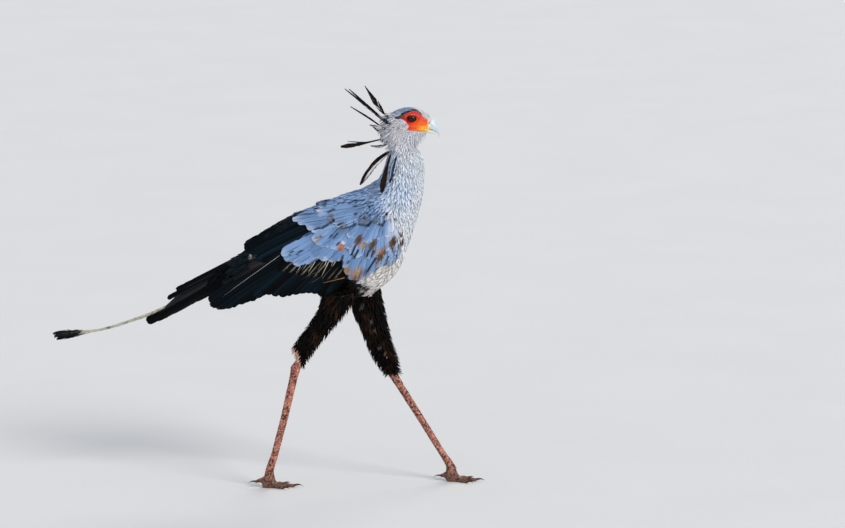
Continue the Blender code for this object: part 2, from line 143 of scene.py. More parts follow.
# Lay of the plumage in the side plane: x, z (mm), heading x, z, feather length (mm), paint
LAY = (
    (402, 932, -1.0, 0.35, 4.5, "brow"), (385, 955, -1.0, 0.45, 5.5, "brow"),
    (345, 966, -1.0, 0.0, 8, "crown"), (310, 958, -0.9, -0.35, 11, "crown"),
    (378, 964, -1.0, 0.2, 6, "brow"), (285, 935, -0.7, -0.75, 15, "crown"),
    (318, 930, -1.0, -0.25, 9, "cheek"), (340, 908, -0.85, -0.5, 8, "cheek"),
    (315, 900, -0.6, -0.8, 12, "cheek"), (390, 897, -0.75, -0.65, 9, "throat"),
    (368, 886, -0.5, -0.85, 12, "throat"), (280, 890, -0.3, -1.0, 17, "neck"),
    (298, 850, -0.1, -1.0, 20, "neck"), (340, 860, -0.12, -1.0, 16, "throat"),
    (388, 845, 0.12, -1.0, 15, "neck_front"), (335, 800, -0.1, -1.0, 20, "neck"),
    (392, 780, -0.02, -1.0, 18, "neck_front"), (295, 815, -0.4, -0.9, 24, "neck_low"),
    (330, 750, -0.3, -1.0, 24, "neck_low"), (385, 730, -0.15, -1.0, 21, "neck_front"),
    (370, 670, -0.35, -1.0, 25, "breast"), (350, 600, -0.5, -0.9, 28, "breast"),
    (320, 545, -0.75, -0.7, 30, "belly"), (270, 505, -0.95, -0.35, 32, "belly"),
    (200, 480, -1.0, -0.1, 32, "belly"), (270, 780, -0.85, -0.5, 30, "mantle"),
    (215, 757, -0.9, -0.42, 36, "mantle"), (150, 730, -0.88, -0.47, 42, "scapular"),
    (95, 700, -0.86, -0.5, 46, "scapular"), (0, 640, -0.85, -0.52, 48, "black"),
    (-60, 590, -0.85, -0.52, 48, "black"))
WING_LAY = (
    (322, 704, -0.6, -0.8, 20, "throat"), (336, 650, -0.5, -0.85, 22, "throat"),
    (300, 610, -0.5, -0.85, 26, "covert_pale"), (300, 745, -0.75, -0.65, 24, "covert_pale"),
    (255, 700, -0.75, -0.66, 24, "covert"), (250, 650, -0.6, -0.8, 26, "covert"),
    (215, 750, -0.88, -0.47, 34, "mantle"), (190, 700, -0.84, -0.54, 32, "scapular"),
    (150, 720, -0.88, -0.48, 42, "scapular"), (120, 690, -0.86, -0.5, 46, "scapular"),
    (150, 640, -0.8, -0.6, 34, "scapular"), (60, 660, -0.86, -0.5, 46, "blue_black"),
    (60, 560, -0.85, -0.52, 44, "black"), (-60, 540, -0.85, -0.52, 40, "black"),
    (150, 540, -0.8, -0.6, 40, "black"))


def linear(paint):
    """A paint's colour in linear light; what is a colour already stays as it is."""
    if not isinstance(paint, str):
        return paint
    shares = np.array(PAINTS[paint]) / 255
    return np.where(shares > 0.04045, ((shares + 0.055) / 1.055) ** 2.4, shares / 12.92)


def ease(value, low, high):
    """0 below `low`, 1 above `high`, with a soft change between."""
    t = np.clip((value - low) / (high - low), 0, 1)
    return t * t * (3 - 2 * t)


def mixed(first, second, share):
    """A blend of two paints, colours or points by an array of shares."""
    share = np.asarray(share)[..., None]
    return linear(first) * (1 - share) + linear(second) * share


def layered(colour, coats):
    """Paints laid over a colour one after the other, each with its share."""
    for paint, share in coats:
        colour = mixed(colour, paint, share)
    return colour


def unit(vectors):
    return vectors / np.maximum(np.linalg.norm(vectors, axis=-1, keepdims=True), 1e-9)


def dot(first, second):
    return (first * second).sum(-1, keepdims=True)


def inside_by(places, outline):
    """How far each place (n, 2) in metres lies inside an outline in millimetres; negative outside."""
    corners = np.array(outline, float) * MM
    after = np.roll(corners, -1, axis=0)
    nearest = np.full(len(places), 1e9)
    inside = np.zeros(len(places), bool)
    for (ax, az), (bx, bz) in zip(corners, after):
        along = np.array((bx - ax, bz - az))
        offset = places - (ax, az)
        t = np.clip(offset @ along / (along @ along), 0, 1)
        nearest = np.minimum(nearest, np.linalg.norm(offset - t[:, None] * along, axis=1))
        crosses = (az > places[:, 1]) != (bz > places[:, 1])
        at = ax + (places[:, 1] - az) / (bz - az if bz != az else 1e-9) * (bx - ax)
        inside ^= crosses & (places[:, 0] < at)
    return np.where(inside, nearest, -nearest)


def curve(points, shares):
    """Places at these shares of the way along a smooth curve through the points."""
    points = np.array(points, float)
    steps = np.linalg.norm(np.diff(points, axis=0), axis=1)
    knots = np.concatenate(([0], np.cumsum(steps))) / steps.sum()
    slopes = np.gradient(points, knots, axis=0)
    shares = np.clip(np.asarray(shares, float), 0, 1)
    span = np.clip(np.searchsorted(knots, shares, side="right") - 1, 0, len(points) - 2)
    width = knots[span + 1] - knots[span]
    t = ((shares - knots[span]) / width)[:, None]
    width = width[:, None]
    return ((2 * t ** 3 - 3 * t ** 2 + 1) * points[span] + (t ** 3 - 2 * t ** 2 + t) * width * slopes[span]
            + (3 * t ** 2 - 2 * t ** 3) * points[span + 1] + (t ** 3 - t ** 2) * width * slopes[span + 1])


# Materials

def signs(operation):
    """One sign of Python's maths for wires, and its reflected form."""
    return (lambda self, other: self.math(operation, self, other),
            lambda self, other: self.math(operation, other, self))


class Wire:
    """A socket's value in a material, with Python's own signs for its maths."""

    def __init__(self, finish, socket):
        self.finish = finish
        self.socket = socket

    def math(self, operation, *values):
        return self.finish.node("ShaderNodeMath", {"operation": operation}, dict(enumerate(values)))[0]

    __add__, __radd__ = signs("ADD")
    __sub__, __rsub__ = signs("SUBTRACT")
    __mul__, __rmul__ = signs("MULTIPLY")

    def between(self, low, high):
        """0 at `low`, 1 at `high`, clamped and soft."""
        return self.finish.node("ShaderNodeMapRange", {"interpolation_type": "SMOOTHSTEP"},
                                {0: self, 1: low, 2: high, 3: 0.0, 4: 1.0})[0]

    def wave(self):
        return self.math("SINE", self)

    def size(self):
        return self.math("ABSOLUTE", self)


class Finish:
    """A material, its shader and the nodes that feed it."""

    def __init__(self, name, roughness, **sockets):
        self.material = bpy.data.materials.new(name)
        self.material.use_nodes = True
        self.tree = self.material.node_tree
        self.shader = self.tree.nodes["Principled BSDF"]
        self.shader.inputs["Roughness"].default_value = roughness
        for socket, value in sockets.items():
            self.shader.inputs[socket.replace("_", " ")].default_value = value

    def node(self, kind, settings=None, values=None):
        """A node with its settings, then its sockets' values or links; returns its outputs."""
        made = self.tree.nodes.new(kind)
        for name, value in (settings or {}).items():
            setattr(made, name, value)
        for socket, value in (values or {}).items():
            if isinstance(value, Wire):
                self.tree.links.new(value.socket, made.inputs[socket])
            else:
                made.inputs[socket].default_value = value
        return [Wire(self, socket) for socket in made.outputs]

    def feed(self, socket, value):
        self.tree.links.new(value.socket, self.shader.inputs[socket])

    def attribute(self, name):
        """The colour, then the number that a mesh holds under this name."""
        made = self.node("ShaderNodeAttribute", {"attribute_name": name})
        return made[0], made[2]

    def place(self):
        return self.node("ShaderNodeTexCoord")[3]

    def vane(self):
        """Place across a feather from 0 to 1, and along it from its root at 0."""
        place = self.node("ShaderNodeUVMap", {"uv_map": "vane"})[0]
        made = self.node("ShaderNodeSeparateXYZ", None, {0: place})
        return made[0], made[1]

    def noise(self, scale, detail=3.0, vector=None, roughness=0.5):
        return self.node("ShaderNodeTexNoise", None, {
            "Vector": vector or self.place(), "Scale": scale, "Detail": detail, "Roughness": roughness})[0]

    def blend(self, first, second, share, way="MIX"):
        """A blend of two colours; each is a Wire or a paint's name."""
        def colour(value):
            return (*linear(value), 1.0) if isinstance(value, str) else value
        return self.node("ShaderNodeMix", {"data_type": "RGBA", "blend_type": way},
                         {0: share, 6: colour(first), 7: colour(second)})[2]

    def shade(self, colour, strength):
        """A colour made lighter or darker by a number."""
        grey = self.node("ShaderNodeCombineColor", None, {0: strength, 1: strength, 2: strength})[0]
        return self.blend(colour, grey, 1.0, "MULTIPLY")

    def bump(self, height, distance, strength=1.0):
        self.feed("Normal", self.node("ShaderNodeBump", None, {
            "Strength": strength, "Distance": distance, "Height": height})[0])


def feather_finish(name, roughness, barbs, spread, shaft, edge, streaks=0.0, gleam=0.2):
    """Feathers: each vane's paint with its barbs, shaft, dark streaks and another tone at its edge."""
    made = Finish(name, roughness, Specular_IOR_Level=gleam)
    paint, _ = made.attribute("dye")
    _, lot = made.attribute("lot")
    across, along = made.vane()
    beside = (across - 0.5).size() * 2
    lines = ((along * barbs - beside * barbs * 0.16) * 2 * math.pi).wave() * 0.5 + 0.5
    split = made.noise(260, 2).between(0.5, 0.72)
    middle = 1 - beside.between(0.03, 0.12)
    rim = beside.between(0.62, 1.0)
    lane = made.node("ShaderNodeCombineXYZ", None,
                     {0: across * 5.0 + lot * 37, 1: along * 1.6, 2: lot * 91})[0]
    streak = made.noise(1.0, 2, lane).between(0.55, 0.68)
    tone = (lot - 0.5) * spread + 1.0 - lines * 0.06 - split * 0.05 + middle * shaft + rim * edge
    made.feed("Base Color", made.shade(paint, tone * (1 - streak * streaks)))
    made.feed("Roughness", lot * 0.12 + (roughness - 0.06) + lines * 0.05)
    made.bump(lines * 0.5 + middle * 0.8, 0.25 * MM, 0.6)
    return made.material


def skin_finish():
    """Skin: paint from its place, pores and creases on the face, scales and brown blotches on the legs."""
    made = Finish("skin", 0.6, Specular_IOR_Level=0.35)
    paint, _ = made.attribute("dye")
    _, leg = made.attribute("leg")
    _, face = made.attribute("face")
    _, groove = made.attribute("groove")
    place = made.place()
    blotch = made.noise(190, 4, place, 0.7).between(0.42, 0.62) * made.noise(45, 2, place).between(0.3, 0.5)
    stain = (blotch + groove * 0.6 + made.noise(16, 2, place) * 0.2).between(0.2, 0.95) * leg
    colour = made.blend(paint, "leg_brown", stain)
    mottle = made.noise(210, 4, place) * 0.3 + 0.85
    veins = made.noise(70, 3, place).between(0.35, 0.75)
    blush = made.blend(colour, "face_red", veins * face * 0.22)
    made.feed("Base Color", made.shade(blush, mottle))
    made.feed("Roughness", 0.62 - face * 0.16 - leg * 0.08)
    pores = made.noise(900, 3, place) * (face * 0.5 + 0.2)
    pits = made.noise(330, 2, place) * (leg * 0.8 + face * 0.5)
    made.bump(pores + pits, 0.4 * MM, 0.7)
    return made.material


def bill_finish():
    """Bill: pale blue-grey horn, cream along its edges and tip, with faint growth lines."""
    made = Finish("bill_horn", 0.32, Coat_Weight=0.25, Coat_Roughness=0.2)
    paint, _ = made.attribute("dye")
    place = made.place()
    stretched = made.node("ShaderNodeMapping", {"vector_type": "POINT"},
                          {"Vector": place, "Scale": (1.0, 1.0, 0.25)})[0]
    streaks = made.noise(420, 3, stretched)
    clouds = made.noise(95, 3, place)
    made.feed("Base Color", made.shade(paint, streaks * 0.14 + clouds * 0.22 + 0.82))
    made.feed("Roughness", streaks * 0.2 + 0.24)
    made.bump(streaks, 0.15 * MM, 0.5)
    return made.material


def claw_finish():
    """Claws: black horn, scuffed towards brown and dusty in patches."""
    made = Finish("claw_horn", 0.42)
    place = made.place()
    wear = made.noise(260, 4, place)
    dust = made.noise(90, 2, place).between(0.42, 0.7)
    horn = made.blend("black", "leg_brown", wear.between(0.45, 0.8) * 0.5)
    made.feed("Base Color", made.blend(horn, "foot", dust * 0.35))
    made.feed("Roughness", wear * 0.3 + 0.3)
    made.bump(wear, 0.2 * MM, 0.5)
    return made.material


def eye_finish():
    """Eye: a black pupil in a dark brown iris with fine spokes, under a clear wet coat."""
    made = Finish("eye_gloss", 0.12, Specular_IOR_Level=0.1, Coat_Weight=0.45, Coat_Roughness=0.03)
    paint, _ = made.attribute("dye")
    spokes = made.noise(520, 4)
    made.feed("Base Color", made.shade(paint, spokes * 0.9 + 0.55))
    made.feed("Roughness", spokes * 0.06 + 0.08)
    return made.material


def floor_finish():
    made = Finish("studio_floor", 0.85)
    grain = made.noise(2.5, 2)
    made.feed("Base Color", made.blend("floor", "floor_grey", grain))
    made.feed("Roughness", grain * 0.1 + 0.8)
    return made.material


# Meshes

def read(items, field, width=3, kind=float):
    """One field of a mesh's points, edges or faces, a row for each."""
    values = np.empty(len(items) * width, kind)
    items.foreach_get(field, values)
    return values.reshape(-1, width)


def triangles_of(mesh):
    mesh.calc_loop_triangles()
    return read(mesh.loop_triangles, "vertices", kind=np.int32)


def node_part(name):
    """A CAD node's points and triangles."""
    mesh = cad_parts[name].data
    return read(mesh.vertices, "co"), triangles_of(mesh)


def joined(parts):
    """Points and triangles of several parts together, and the number of each triangle's part."""
    points, triangles = zip(*parts)
    starts = np.cumsum([0] + [len(own) for own in points[:-1]])
    owners = np.repeat(np.arange(len(parts)), [len(own) for own in triangles])
    triangles = np.concatenate([own + start for own, start in zip(triangles, starts)])
    return np.concatenate(points), triangles, owners


def placed(name, data):
    """An object with this data, in the scene."""
    made = bpy.data.objects.new(name, data)
    bpy.context.scene.collection.objects.link(made)
    return made


def add_piece(name, mesh, finish, replaced=()):
    mesh.materials.append(finish)
    mesh.shade_smooth()
    piece = placed(name, mesh)
    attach(piece, "root")
    if replaced:
        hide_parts(*replaced)


def set_points(mesh, points):
    mesh.vertices.foreach_set("co", np.ascontiguousarray(points, np.float32).ravel())
    mesh.update()


def keep(mesh, name, values):
    """Hold a number or a colour for each point of the mesh."""
    values = np.asarray(values, np.float32)
    if values.ndim == 1:
        mesh.attributes.new(name, "FLOAT", "POINT").data.foreach_set("value", values)
        return
    full = np.ones((len(values), 4), np.float32)
    full[:, :3] = values
    mesh.color_attributes.new(name, "FLOAT_COLOR", "POINT").data.foreach_set("color", full.ravel())


def relax(values, edges, weights, rounds):
    """Draw each value towards the mean of its neighbours."""
    count = len(values)
    values = values.astype(float)
    flat = values.reshape(count, -1)
    first, second = edges[:, 0], edges[:, 1]
    links = np.maximum(np.bincount(first, minlength=count) + np.bincount(second, minlength=count), 1)
    for index in range(rounds):
        share = weights(index) if callable(weights) else weights
        for line in flat.T:
            total = np.bincount(first, line[second], count) + np.bincount(second, line[first], count)
            line += share * (total / links - line)
    return values


def mesh_edges(mesh):
    return read(mesh.edges, "vertices", 2, np.int32)


def remeshed(parts, cell, rounds=0):
    """One closed mesh of even cells round everything that the parts enclose, smoothed."""
    points, triangles, _ = joined(parts)
    source = bpy.data.meshes.new("form")
    source.from_pydata(points.tolist(), [], triangles.tolist())
    holder = placed("form", source)
    holder.modifiers.new("weld", "WELD").merge_threshold = 1e-5
    cells = holder.modifiers.new("cells", "REMESH")
    cells.mode = "VOXEL"
    cells.voxel_size = cell
    mesh = bpy.data.meshes.new_from_object(holder.evaluated_get(bpy.context.evaluated_depsgraph_get()))
    bpy.data.objects.remove(holder)
    bpy.data.meshes.remove(source)
    if rounds:
        set_points(mesh, relax(read(mesh.vertices, "co"), mesh_edges(mesh), 0.5, rounds))
    return mesh


def refine(mesh, chosen):
    """Split the edges of the chosen faces."""
    body = bmesh.new()
    body.from_mesh(mesh)
    body.faces.ensure_lookup_table()
    edges = {edge for index in np.nonzero(chosen)[0] for edge in body.faces[index].edges}
    bmesh.ops.subdivide_edges(body, edges=list(edges), cuts=1, use_grid_fill=True)
    body.to_mesh(mesh)
    body.free()


def tube(rings):
    """Points and triangles of a closed form through rings of points (rings, around, 3)."""
    number, count = rings.shape[:2]
    faces = []
    for k in range(number - 1):
        for j in range(count):
            a, b = k * count + j, k * count + (j + 1) % count
            faces += [(a, b, b + count), (a, b + count, a + count)]
    last = (number - 1) * count
    for j in range(1, count - 1):
        faces += [(0, j + 1, j), (last, last + j, last + j + 1)]
    return rings.reshape(-1, 3), np.array(faces)


class Surface:
    """A mesh that can be asked for its nearest place and its smooth normal there."""

    def __init__(self, points, triangles, smooth=None):
        self.tree = BVHTree.FromPolygons(points.tolist(), triangles.tolist())
        corners = points[triangles]
        flat = unit(np.cross(corners[:, 1] - corners[:, 0], corners[:, 2] - corners[:, 0]))
        self.normals = flat if smooth is None else unit(smooth[triangles].mean(1))

    def nearest(self, places):
        found = [self.tree.find_nearest(place) for place in places.tolist()]
        faces = np.array([hit[2] for hit in found])
        return np.array([hit[0] for hit in found]), self.normals[faces], faces

    def struck(self, start, heading):
        """Distance from each start to the surface along its heading, or a large number."""
        hits = [self.tree.ray_cast(a, b) for a, b in zip(start.tolist(), heading.tolist())]
        return np.array([hit[3] if hit[0] is not None else 9.0 for hit in hits])


# The skin

KINDS = np.array([name.split("_")[0] for name in FLESH])
BARE_LEG = ("shank", "foot")


def saddle_form():
    """A long low form along the back that closes the groove between the folded wings."""
    ridge = curve(((250, 0, 758), (150, 0, 727), (77, 0, 697), (14, 0, 666), (-29, 0, 635), (-66, 0, 596)),
                  np.linspace(0, 1, 24)) * MM
    angles = np.linspace(0, 2 * math.pi, 16, endpoint=False)
    width, height = 27 * MM, 17 * MM
    return tube(np.stack([ridge[:, None, 0] + 0 * angles, width * np.sin(angles) + 0 * ridge[:, None, 1],
                          ridge[:, None, 2] - height + height * np.cos(angles)], axis=-1))


def nearness(flat, spots, soft, power):
    """How much each place in the side plane takes from each spot, most from the nearest."""
    apart = ((flat[:, None] - np.array(spots, float) * MM) ** 2).sum(-1)
    share = 1 / (apart + (soft * MM) ** 2) ** power
    return share / share.sum(1, keepdims=True)


def lay_at(places, table):
    """Heading, length and paint of the plumage at places, from the table's nearest rows."""
    share = nearness(places[:, (0, 2)], [row[:2] for row in table], 7, 1.6)
    heading = share @ np.array([row[2:4] for row in table], float)
    headings = np.stack([heading[:, 0], np.zeros(len(places)), heading[:, 1]], -1)
    lengths = share @ np.array([row[4] for row in table], float) * MM
    return unit(headings), lengths, share @ np.array([linear(row[5]) for row in table])


def ragged(places, size):
    """A soft uneven number from about -1 to 1 that changes over `size`."""
    x, y, z = (places / size).T
    return (np.sin(2.1 * x + 1.3 * np.sin(1.7 * z + y)) + np.sin(2.9 * z - 1.1 * np.sin(1.9 * x - y))
            + np.sin(2.3 * y + x + z)) / 3


def plumage_paint(places, kinds):
    """The bird's markings: the paint at each place, for skin and feathers alike."""
    _, _, colour = lay_at(places, LAY)
    _, _, wing = lay_at(places, WING_LAY)
    x, y, z = places.T
    flat = places[:, (0, 2)]
    on_wing, trunk, thigh = kinds == "wing", kinds == "trunk", kinds == "thigh"
    grey = ease(inside_by(flat, GREY_WING) + 3 * MM * ragged(places, 9 * MM), -2 * MM, 2 * MM)
    front = x - 0.232 + 0.35 * (z - 0.50) + 0.006 * ragged(places, 14 * MM)
    brown = ease(ragged(places, 16 * MM), 0.1, 0.9) * 0.7
    return layered(colour, (
        (mixed("blue_black", wing, grey), on_wing),
        ("blue_black", on_wing & (np.abs(y) < 0.03) & (x < 0.06)),
        ("thigh", ease(-front, -4 * MM, 4 * MM) * (trunk & (z < 0.62))),
        ("black", trunk & (x < 0.055) | (kinds == "tail")),
        (mixed("thigh", "thigh_brown", brown), thigh),
        ("leg_pale", thigh & (inside_by(flat, HOCK) > 0) & (y < 0))))


# Paints of the bare face: red round its top and rear, orange in the middle, yellow along the gape, cere cream
FACE = ((333, 943, "face_dark"), (345, 953, "face_red"), (364, 956, "face_red"), (380, 948, "face_red"),
        (390, 936, "face_vermilion"), (399, 932, "face_vermilion"), (350, 934, "face_red"),
        (357, 929, "face_vermilion"), (370, 923, "face_orange"), (384, 925, "face_orange"),
        (395, 925, "face_orange"), (397, 919, "face_amber"), (354, 915, "face_vermilion"),
        (364, 912, "face_orange"), (377, 916, "face_amber"), (386, 914, "face_yellow"),
        (396, 913, "face_yellow"), (372, 908, "face_orange"), (386, 908, "face_amber"),
        (404, 910, "cere"), (407, 920, "cere"))


def nostril_at(points):
    """1 in the nostril, a slit that slants up towards the bill, and 0 away from it."""
    x, z = points[:, 0] / MM - NOSTRIL[0], points[:, 2] / MM - NOSTRIL[1]
    slant = math.radians(42)
    down = x * math.cos(slant) + z * math.sin(slant)
    aside = x * math.sin(slant) - z * math.cos(slant)
    return np.exp(-(down / 4.0) ** 2 - (aside / 1.4) ** 2)


# Hock and ankle of each leg, in millimetres
LEG_ENDS = {"right": ((66, -54, 309), (-3, -36, 20)), "left": ((312, 57.5, 272), (463, 46, 20))}
SCUTE = 6.4 * MM
TOE_SCUTE = 4.6 * MM


def along_leg(places, side):
    """Distance down the shank from the hock, angle round it from its front, and distance from the ankle."""
    hock, ankle = np.array(LEG_ENDS[side]) * MM
    axis = unit(ankle - hock)
    offset = places - hock
    ahead = unit(np.cross(axis, (0, 1, 0)))
    ahead = ahead * np.sign(ahead[0])
    angle = np.arctan2(offset[:, 1], offset @ ahead)
    return offset @ axis, angle, np.linalg.norm((places - ankle)[:, :2], axis=1)


def scale_relief(places, kinds):
    """Height of the leg's scales over its skin, and how deep in a groove each place lies."""
    height = np.zeros(len(places))
    groove = np.zeros(len(places))
    for side, sign in SIDES:
        for kind in BARE_LEG:
            own = (kinds == kind) & ((places[:, 1] < 0) == (sign < 0))
            down, angle, reach = along_leg(places[own], side)
            step = down / SCUTE if kind == "shank" else reach / TOE_SCUTE
            plates = ease(np.abs((step % 1) - 0.5) * 2, 0.62, 1.0)
            turn = angle / math.radians(30)
            rows = np.floor(step * 1.6)
            small = np.maximum(np.abs((step * 1.6 % 1) - 0.5), np.abs(((turn + 0.5 * rows) % 1) - 0.5)) * 2
            scales = ease(small, 0.66, 1.0)
            if kind == "shank":
                front = 1 - ease(np.abs(angle), math.radians(50), math.radians(75))
                rear = ease(np.abs(angle), math.radians(130), math.radians(150))
                smooth = np.clip(front + rear, 0, 1)
                cut = plates * smooth + scales * (1 - smooth)
            else:
                cut = plates * ease(places[own][:, 2], 4 * MM, 9 * MM)
            groove[own] = cut
            height[own] = -0.55 * MM * cut + 0.12 * MM
    return height, groove


def lids(points, kinds):
    """Place the skin round each eye: two lids lie over the ball, with a fold outside them."""
    moved = points.copy()
    for _, side in SIDES:
        near = (kinds == "head") & (points[:, 1] * side > 0.012)
        du = points[:, 0] - EYE.x
        dv = points[:, 2] - EYE.z
        u = du * math.cos(EYE_TILT) + dv * math.sin(EYE_TILT)
        v = -du * math.sin(EYE_TILT) + dv * math.cos(EYE_TILT)
        ring = np.sqrt((u / OPENING[0]) ** 2 + (v / OPENING[1]) ** 2)
        own = near & (ring < 2.6)
        ring = np.maximum(ring, 1e-4)
        snap = np.where(np.abs(ring - 1) < 0.07, 1 / ring, 1.0)
        tuck = np.where(ring < 0.93, 0.95 / ring, snap)
        u, v = u * tuck, v * tuck
        x = EYE.x + u * math.cos(EYE_TILT) - v * math.sin(EYE_TILT)
        z = EYE.z + u * math.sin(EYE_TILT) + v * math.cos(EYE_TILT)
        flat = (x - EYE.x) ** 2 + (z - EYE.z) ** 2
        ball = EYE.y + np.sqrt(np.maximum(EYE_RADIUS ** 2 - flat, (3 * MM) ** 2))
        fold = 0.9 * MM * np.exp(-((ring - 1.18) / 0.14) ** 2) - 0.5 * MM * np.exp(-((ring - 1.5) / 0.1) ** 2)
        upper = ease(v, -2 * MM, 3 * MM)
        fold += upper * 0.9 * MM * np.exp(-((ring - 1.75) / 0.16) ** 2)
        lid = ball + LID_THICKNESS + fold
        sunk = ball - 2.5 * MM
        skin = np.abs(points[:, 1]) + fold * 0.6
        share = ease(ring, 1.25, 2.2)
        depth = np.where(ring < 0.93, sunk, lid * (1 - share) + np.maximum(skin, 0) * share)
        moved[own] = np.stack([x, side * depth, z], -1)[own]
    return moved


def face_relief(points):
    """Brow, folds and wrinkles of the bare face, as heights."""
    x, z = points[:, 0] / MM, points[:, 2] / MM
    brow = np.interp(x, (330, 345, 356, 368, 378, 392), (944, 952, 957, 960, 954, 942))
    ridge = np.exp(-((z - brow) / 2.4) ** 2) * ((x > 328) & (x < 392))
    gape = np.interp(x, (347, 360, 380, 392, 405, 412), (913, 914, 914.5, 913, 910, 908))
    crease = np.exp(-((z - gape) / 1.0) ** 2) * ((x > 352) & (x < 412))
    swell = np.exp(-((z - gape - 3.6) / 2.4) ** 2) * ((x > 356) & (x < 408))
    reach = np.hypot(x - EYE.x / MM, z - EYE.z / MM)
    wrinkles = np.sin(reach * 1.9 + 0.6 * np.sin(x * 0.5)) * ease(reach, 14, 20) * (1 - ease(reach, 34, 44))
    nostril = nostril_at(points)
    return (1.3 * ridge - 1.4 * crease + 0.8 * swell + 0.28 * wrinkles - 2.4 * nostril) * MM


def skin_form(parts):
    """The skin's mesh, split finer over the legs and the bare face; kind of flesh at each of its points."""
    points, triangles, owners = joined(parts)
    cad = Surface(points, triangles)

    def kinds_at(places):
        return KINDS[owners[cad.nearest(places)[2]]]

    mesh = remeshed([*parts, saddle_form(), *(node_part("eye_" + side) for side, _ in SIDES)], SKIN_CELL)
    centres = read(mesh.polygons, "center")
    kinds = kinds_at(centres)
    visage = (kinds == "head") & (inside_by(centres[:, (0, 2)], BARE_FACE) > -5 * MM)
    refine(mesh, np.isin(kinds, BARE_LEG) | visage & (np.abs(centres[:, 1]) > 5 * MM))
    centres = read(mesh.polygons, "center")
    refine(mesh, (inside_by(centres[:, (0, 2)], BARE_FACE) > -4 * MM) & (np.abs(centres[:, 1]) > 6 * MM))
    return mesh, kinds_at(read(mesh.vertices, "co"))


def build_skin():
    """One skin in place of all the nodes of flesh, drawn in by the depth of the plumage."""
    mesh, kinds = skin_form([node_part(name) for name in FLESH])
    points, edges = read(mesh.vertices, "co"), mesh_edges(mesh)
    head, thigh, leg = kinds == "head", kinds == "thigh", np.isin(kinds, BARE_LEG)

    inward = -read(mesh.vertex_normals, "vector")
    thickness = Surface(points, triangles_of(mesh)).struck(points + inward * 0.2 * MM, inward)
    thickness = relax(np.minimum(thickness, 0.08), edges, 0.5, 4)
    rounds = np.array([SMOOTHING[kind] for kind in kinds])
    firm = np.where(leg, 1.0, ease(thickness, 2 * MM, 16 * MM))
    points = relax(points, edges, lambda index: 0.5 * firm * (index < rounds), int(rounds.max()))
    orbit = head & (np.hypot(points[:, 0] - EYE.x, points[:, 2] - EYE.z) < ORBIT)
    points = relax(points, edges, np.where(orbit & (np.abs(points[:, 1]) > 12 * MM), 0.9, 0.0), 60)
    set_points(mesh, points)

    bare = ease(inside_by(points[:, (0, 2)], BARE_FACE), -1.5 * MM, 1.0 * MM) * head
    depth = np.array([COAT_DEPTH[kind] for kind in kinds]) * MM
    depth = np.minimum(depth * (1 - bare), thickness * 0.35)
    depth = relax(depth, edges, 0.5, 14) * (1 - bare) * (1 - ease(points[:, 0], *BILL_ROOT) * head)
    points = points - read(mesh.vertex_normals, "vector") * depth[:, None]
    tucked = thigh & (points[:, 2] > TUCK_HEIGHT)
    limit = WING.distance(points[:, 0], points[:, 2]) - TUCK_DEPTH
    far = np.abs(points[:, 1])
    inside = np.sign(points[:, 1]) * (limit * 0.8 + far * 0.2)
    points[:, 1] = np.where(tucked & (far > limit), inside, points[:, 1])
    points = lids(relax(points, edges, np.where(tucked, 0.5, 0.0), 6), kinds)
    set_points(mesh, points)

    height, groove = scale_relief(points, kinds)
    ring = np.hypot((points[:, 0] - EYE.x) / OPENING[0], (points[:, 2] - EYE.z) / OPENING[1])
    height += face_relief(points) * (bare * ease(ring, 1.3, 1.8) * (np.abs(points[:, 1]) > 4 * MM))
    points = points + read(mesh.vertex_normals, "vector") * height[:, None]
    set_points(mesh, points)

    x, far, z = points[:, 0], np.abs(points[:, 1]), points[:, 2]
    face = nearness(points[:, (0, 2)], [row[:2] for row in FACE], 2, 2)
    face = face @ np.array([linear(row[2]) for row in FACE])
    cere = ease(x - 0.396 - 0.005 * (1 - ease(z, 0.912, 0.920)), 0.0, 0.005) * (1 - ease(z, 0.940, 0.944))
    lid = np.exp(-((ring - 1.62) / 0.16) ** 2) * ease(z - EYE.z, 1 * MM, 6 * MM)
    beside = head & (far > 10 * MM)
    pale_leg = mixed("leg", "leg_pale", ease(ragged(points, 4 * MM), 0.0, 1.0) * 0.8)
    keep(mesh, "dye", layered(plumage_paint(points, kinds), (
        (face, bare),
        ("cere", cere * head * 0.8),
        ("face_lid", lid * beside * 0.9),
        (linear("face_dark") * 0.2, (1 - ease(ring, 1.06, 1.26)) * beside),
        # Painted shade: the nostril's slit is painted black
        ("black", ease(nostril_at(points), 0.25, 0.6) * head * (far > 3 * MM)),
        (mixed(pale_leg, "foot", 1 - ease(z, 0.012, 0.05)), leg))))
    keep(mesh, "leg", leg)
    keep(mesh, "face", bare)
    keep(mesh, "groove", groove)
    add_piece("skin", mesh, skin_finish(), FLESH)
    return mesh, points, kinds, bare


# Feathers

SMALL_RING = ((-1, 0), (0, 0), (1, 0), (0, 1))
LARGE_RING = ((-1, 0), (-0.75, 0), (-0.5, 0), (-0.25, 0), (0, 0), (0.25, 0), (0.5, 0), (0.75, 0), (1, 0),
              (0.5, 1), (0, 1), (-0.5, 1))
PATCH = 0.003

# Width of a feather at even steps from its root to its tip, as shares of its widest
ROUNDED = (0.45, 0.92, 1.0, 0.80, 0.18)
SLIM = (0.50, 0.92, 0.90, 0.60, 0.06)
TUFT = (0.60, 1.0, 0.80, 0.45, 0.04)
BARB = (0.70, 1.0, 0.70, 0.10)


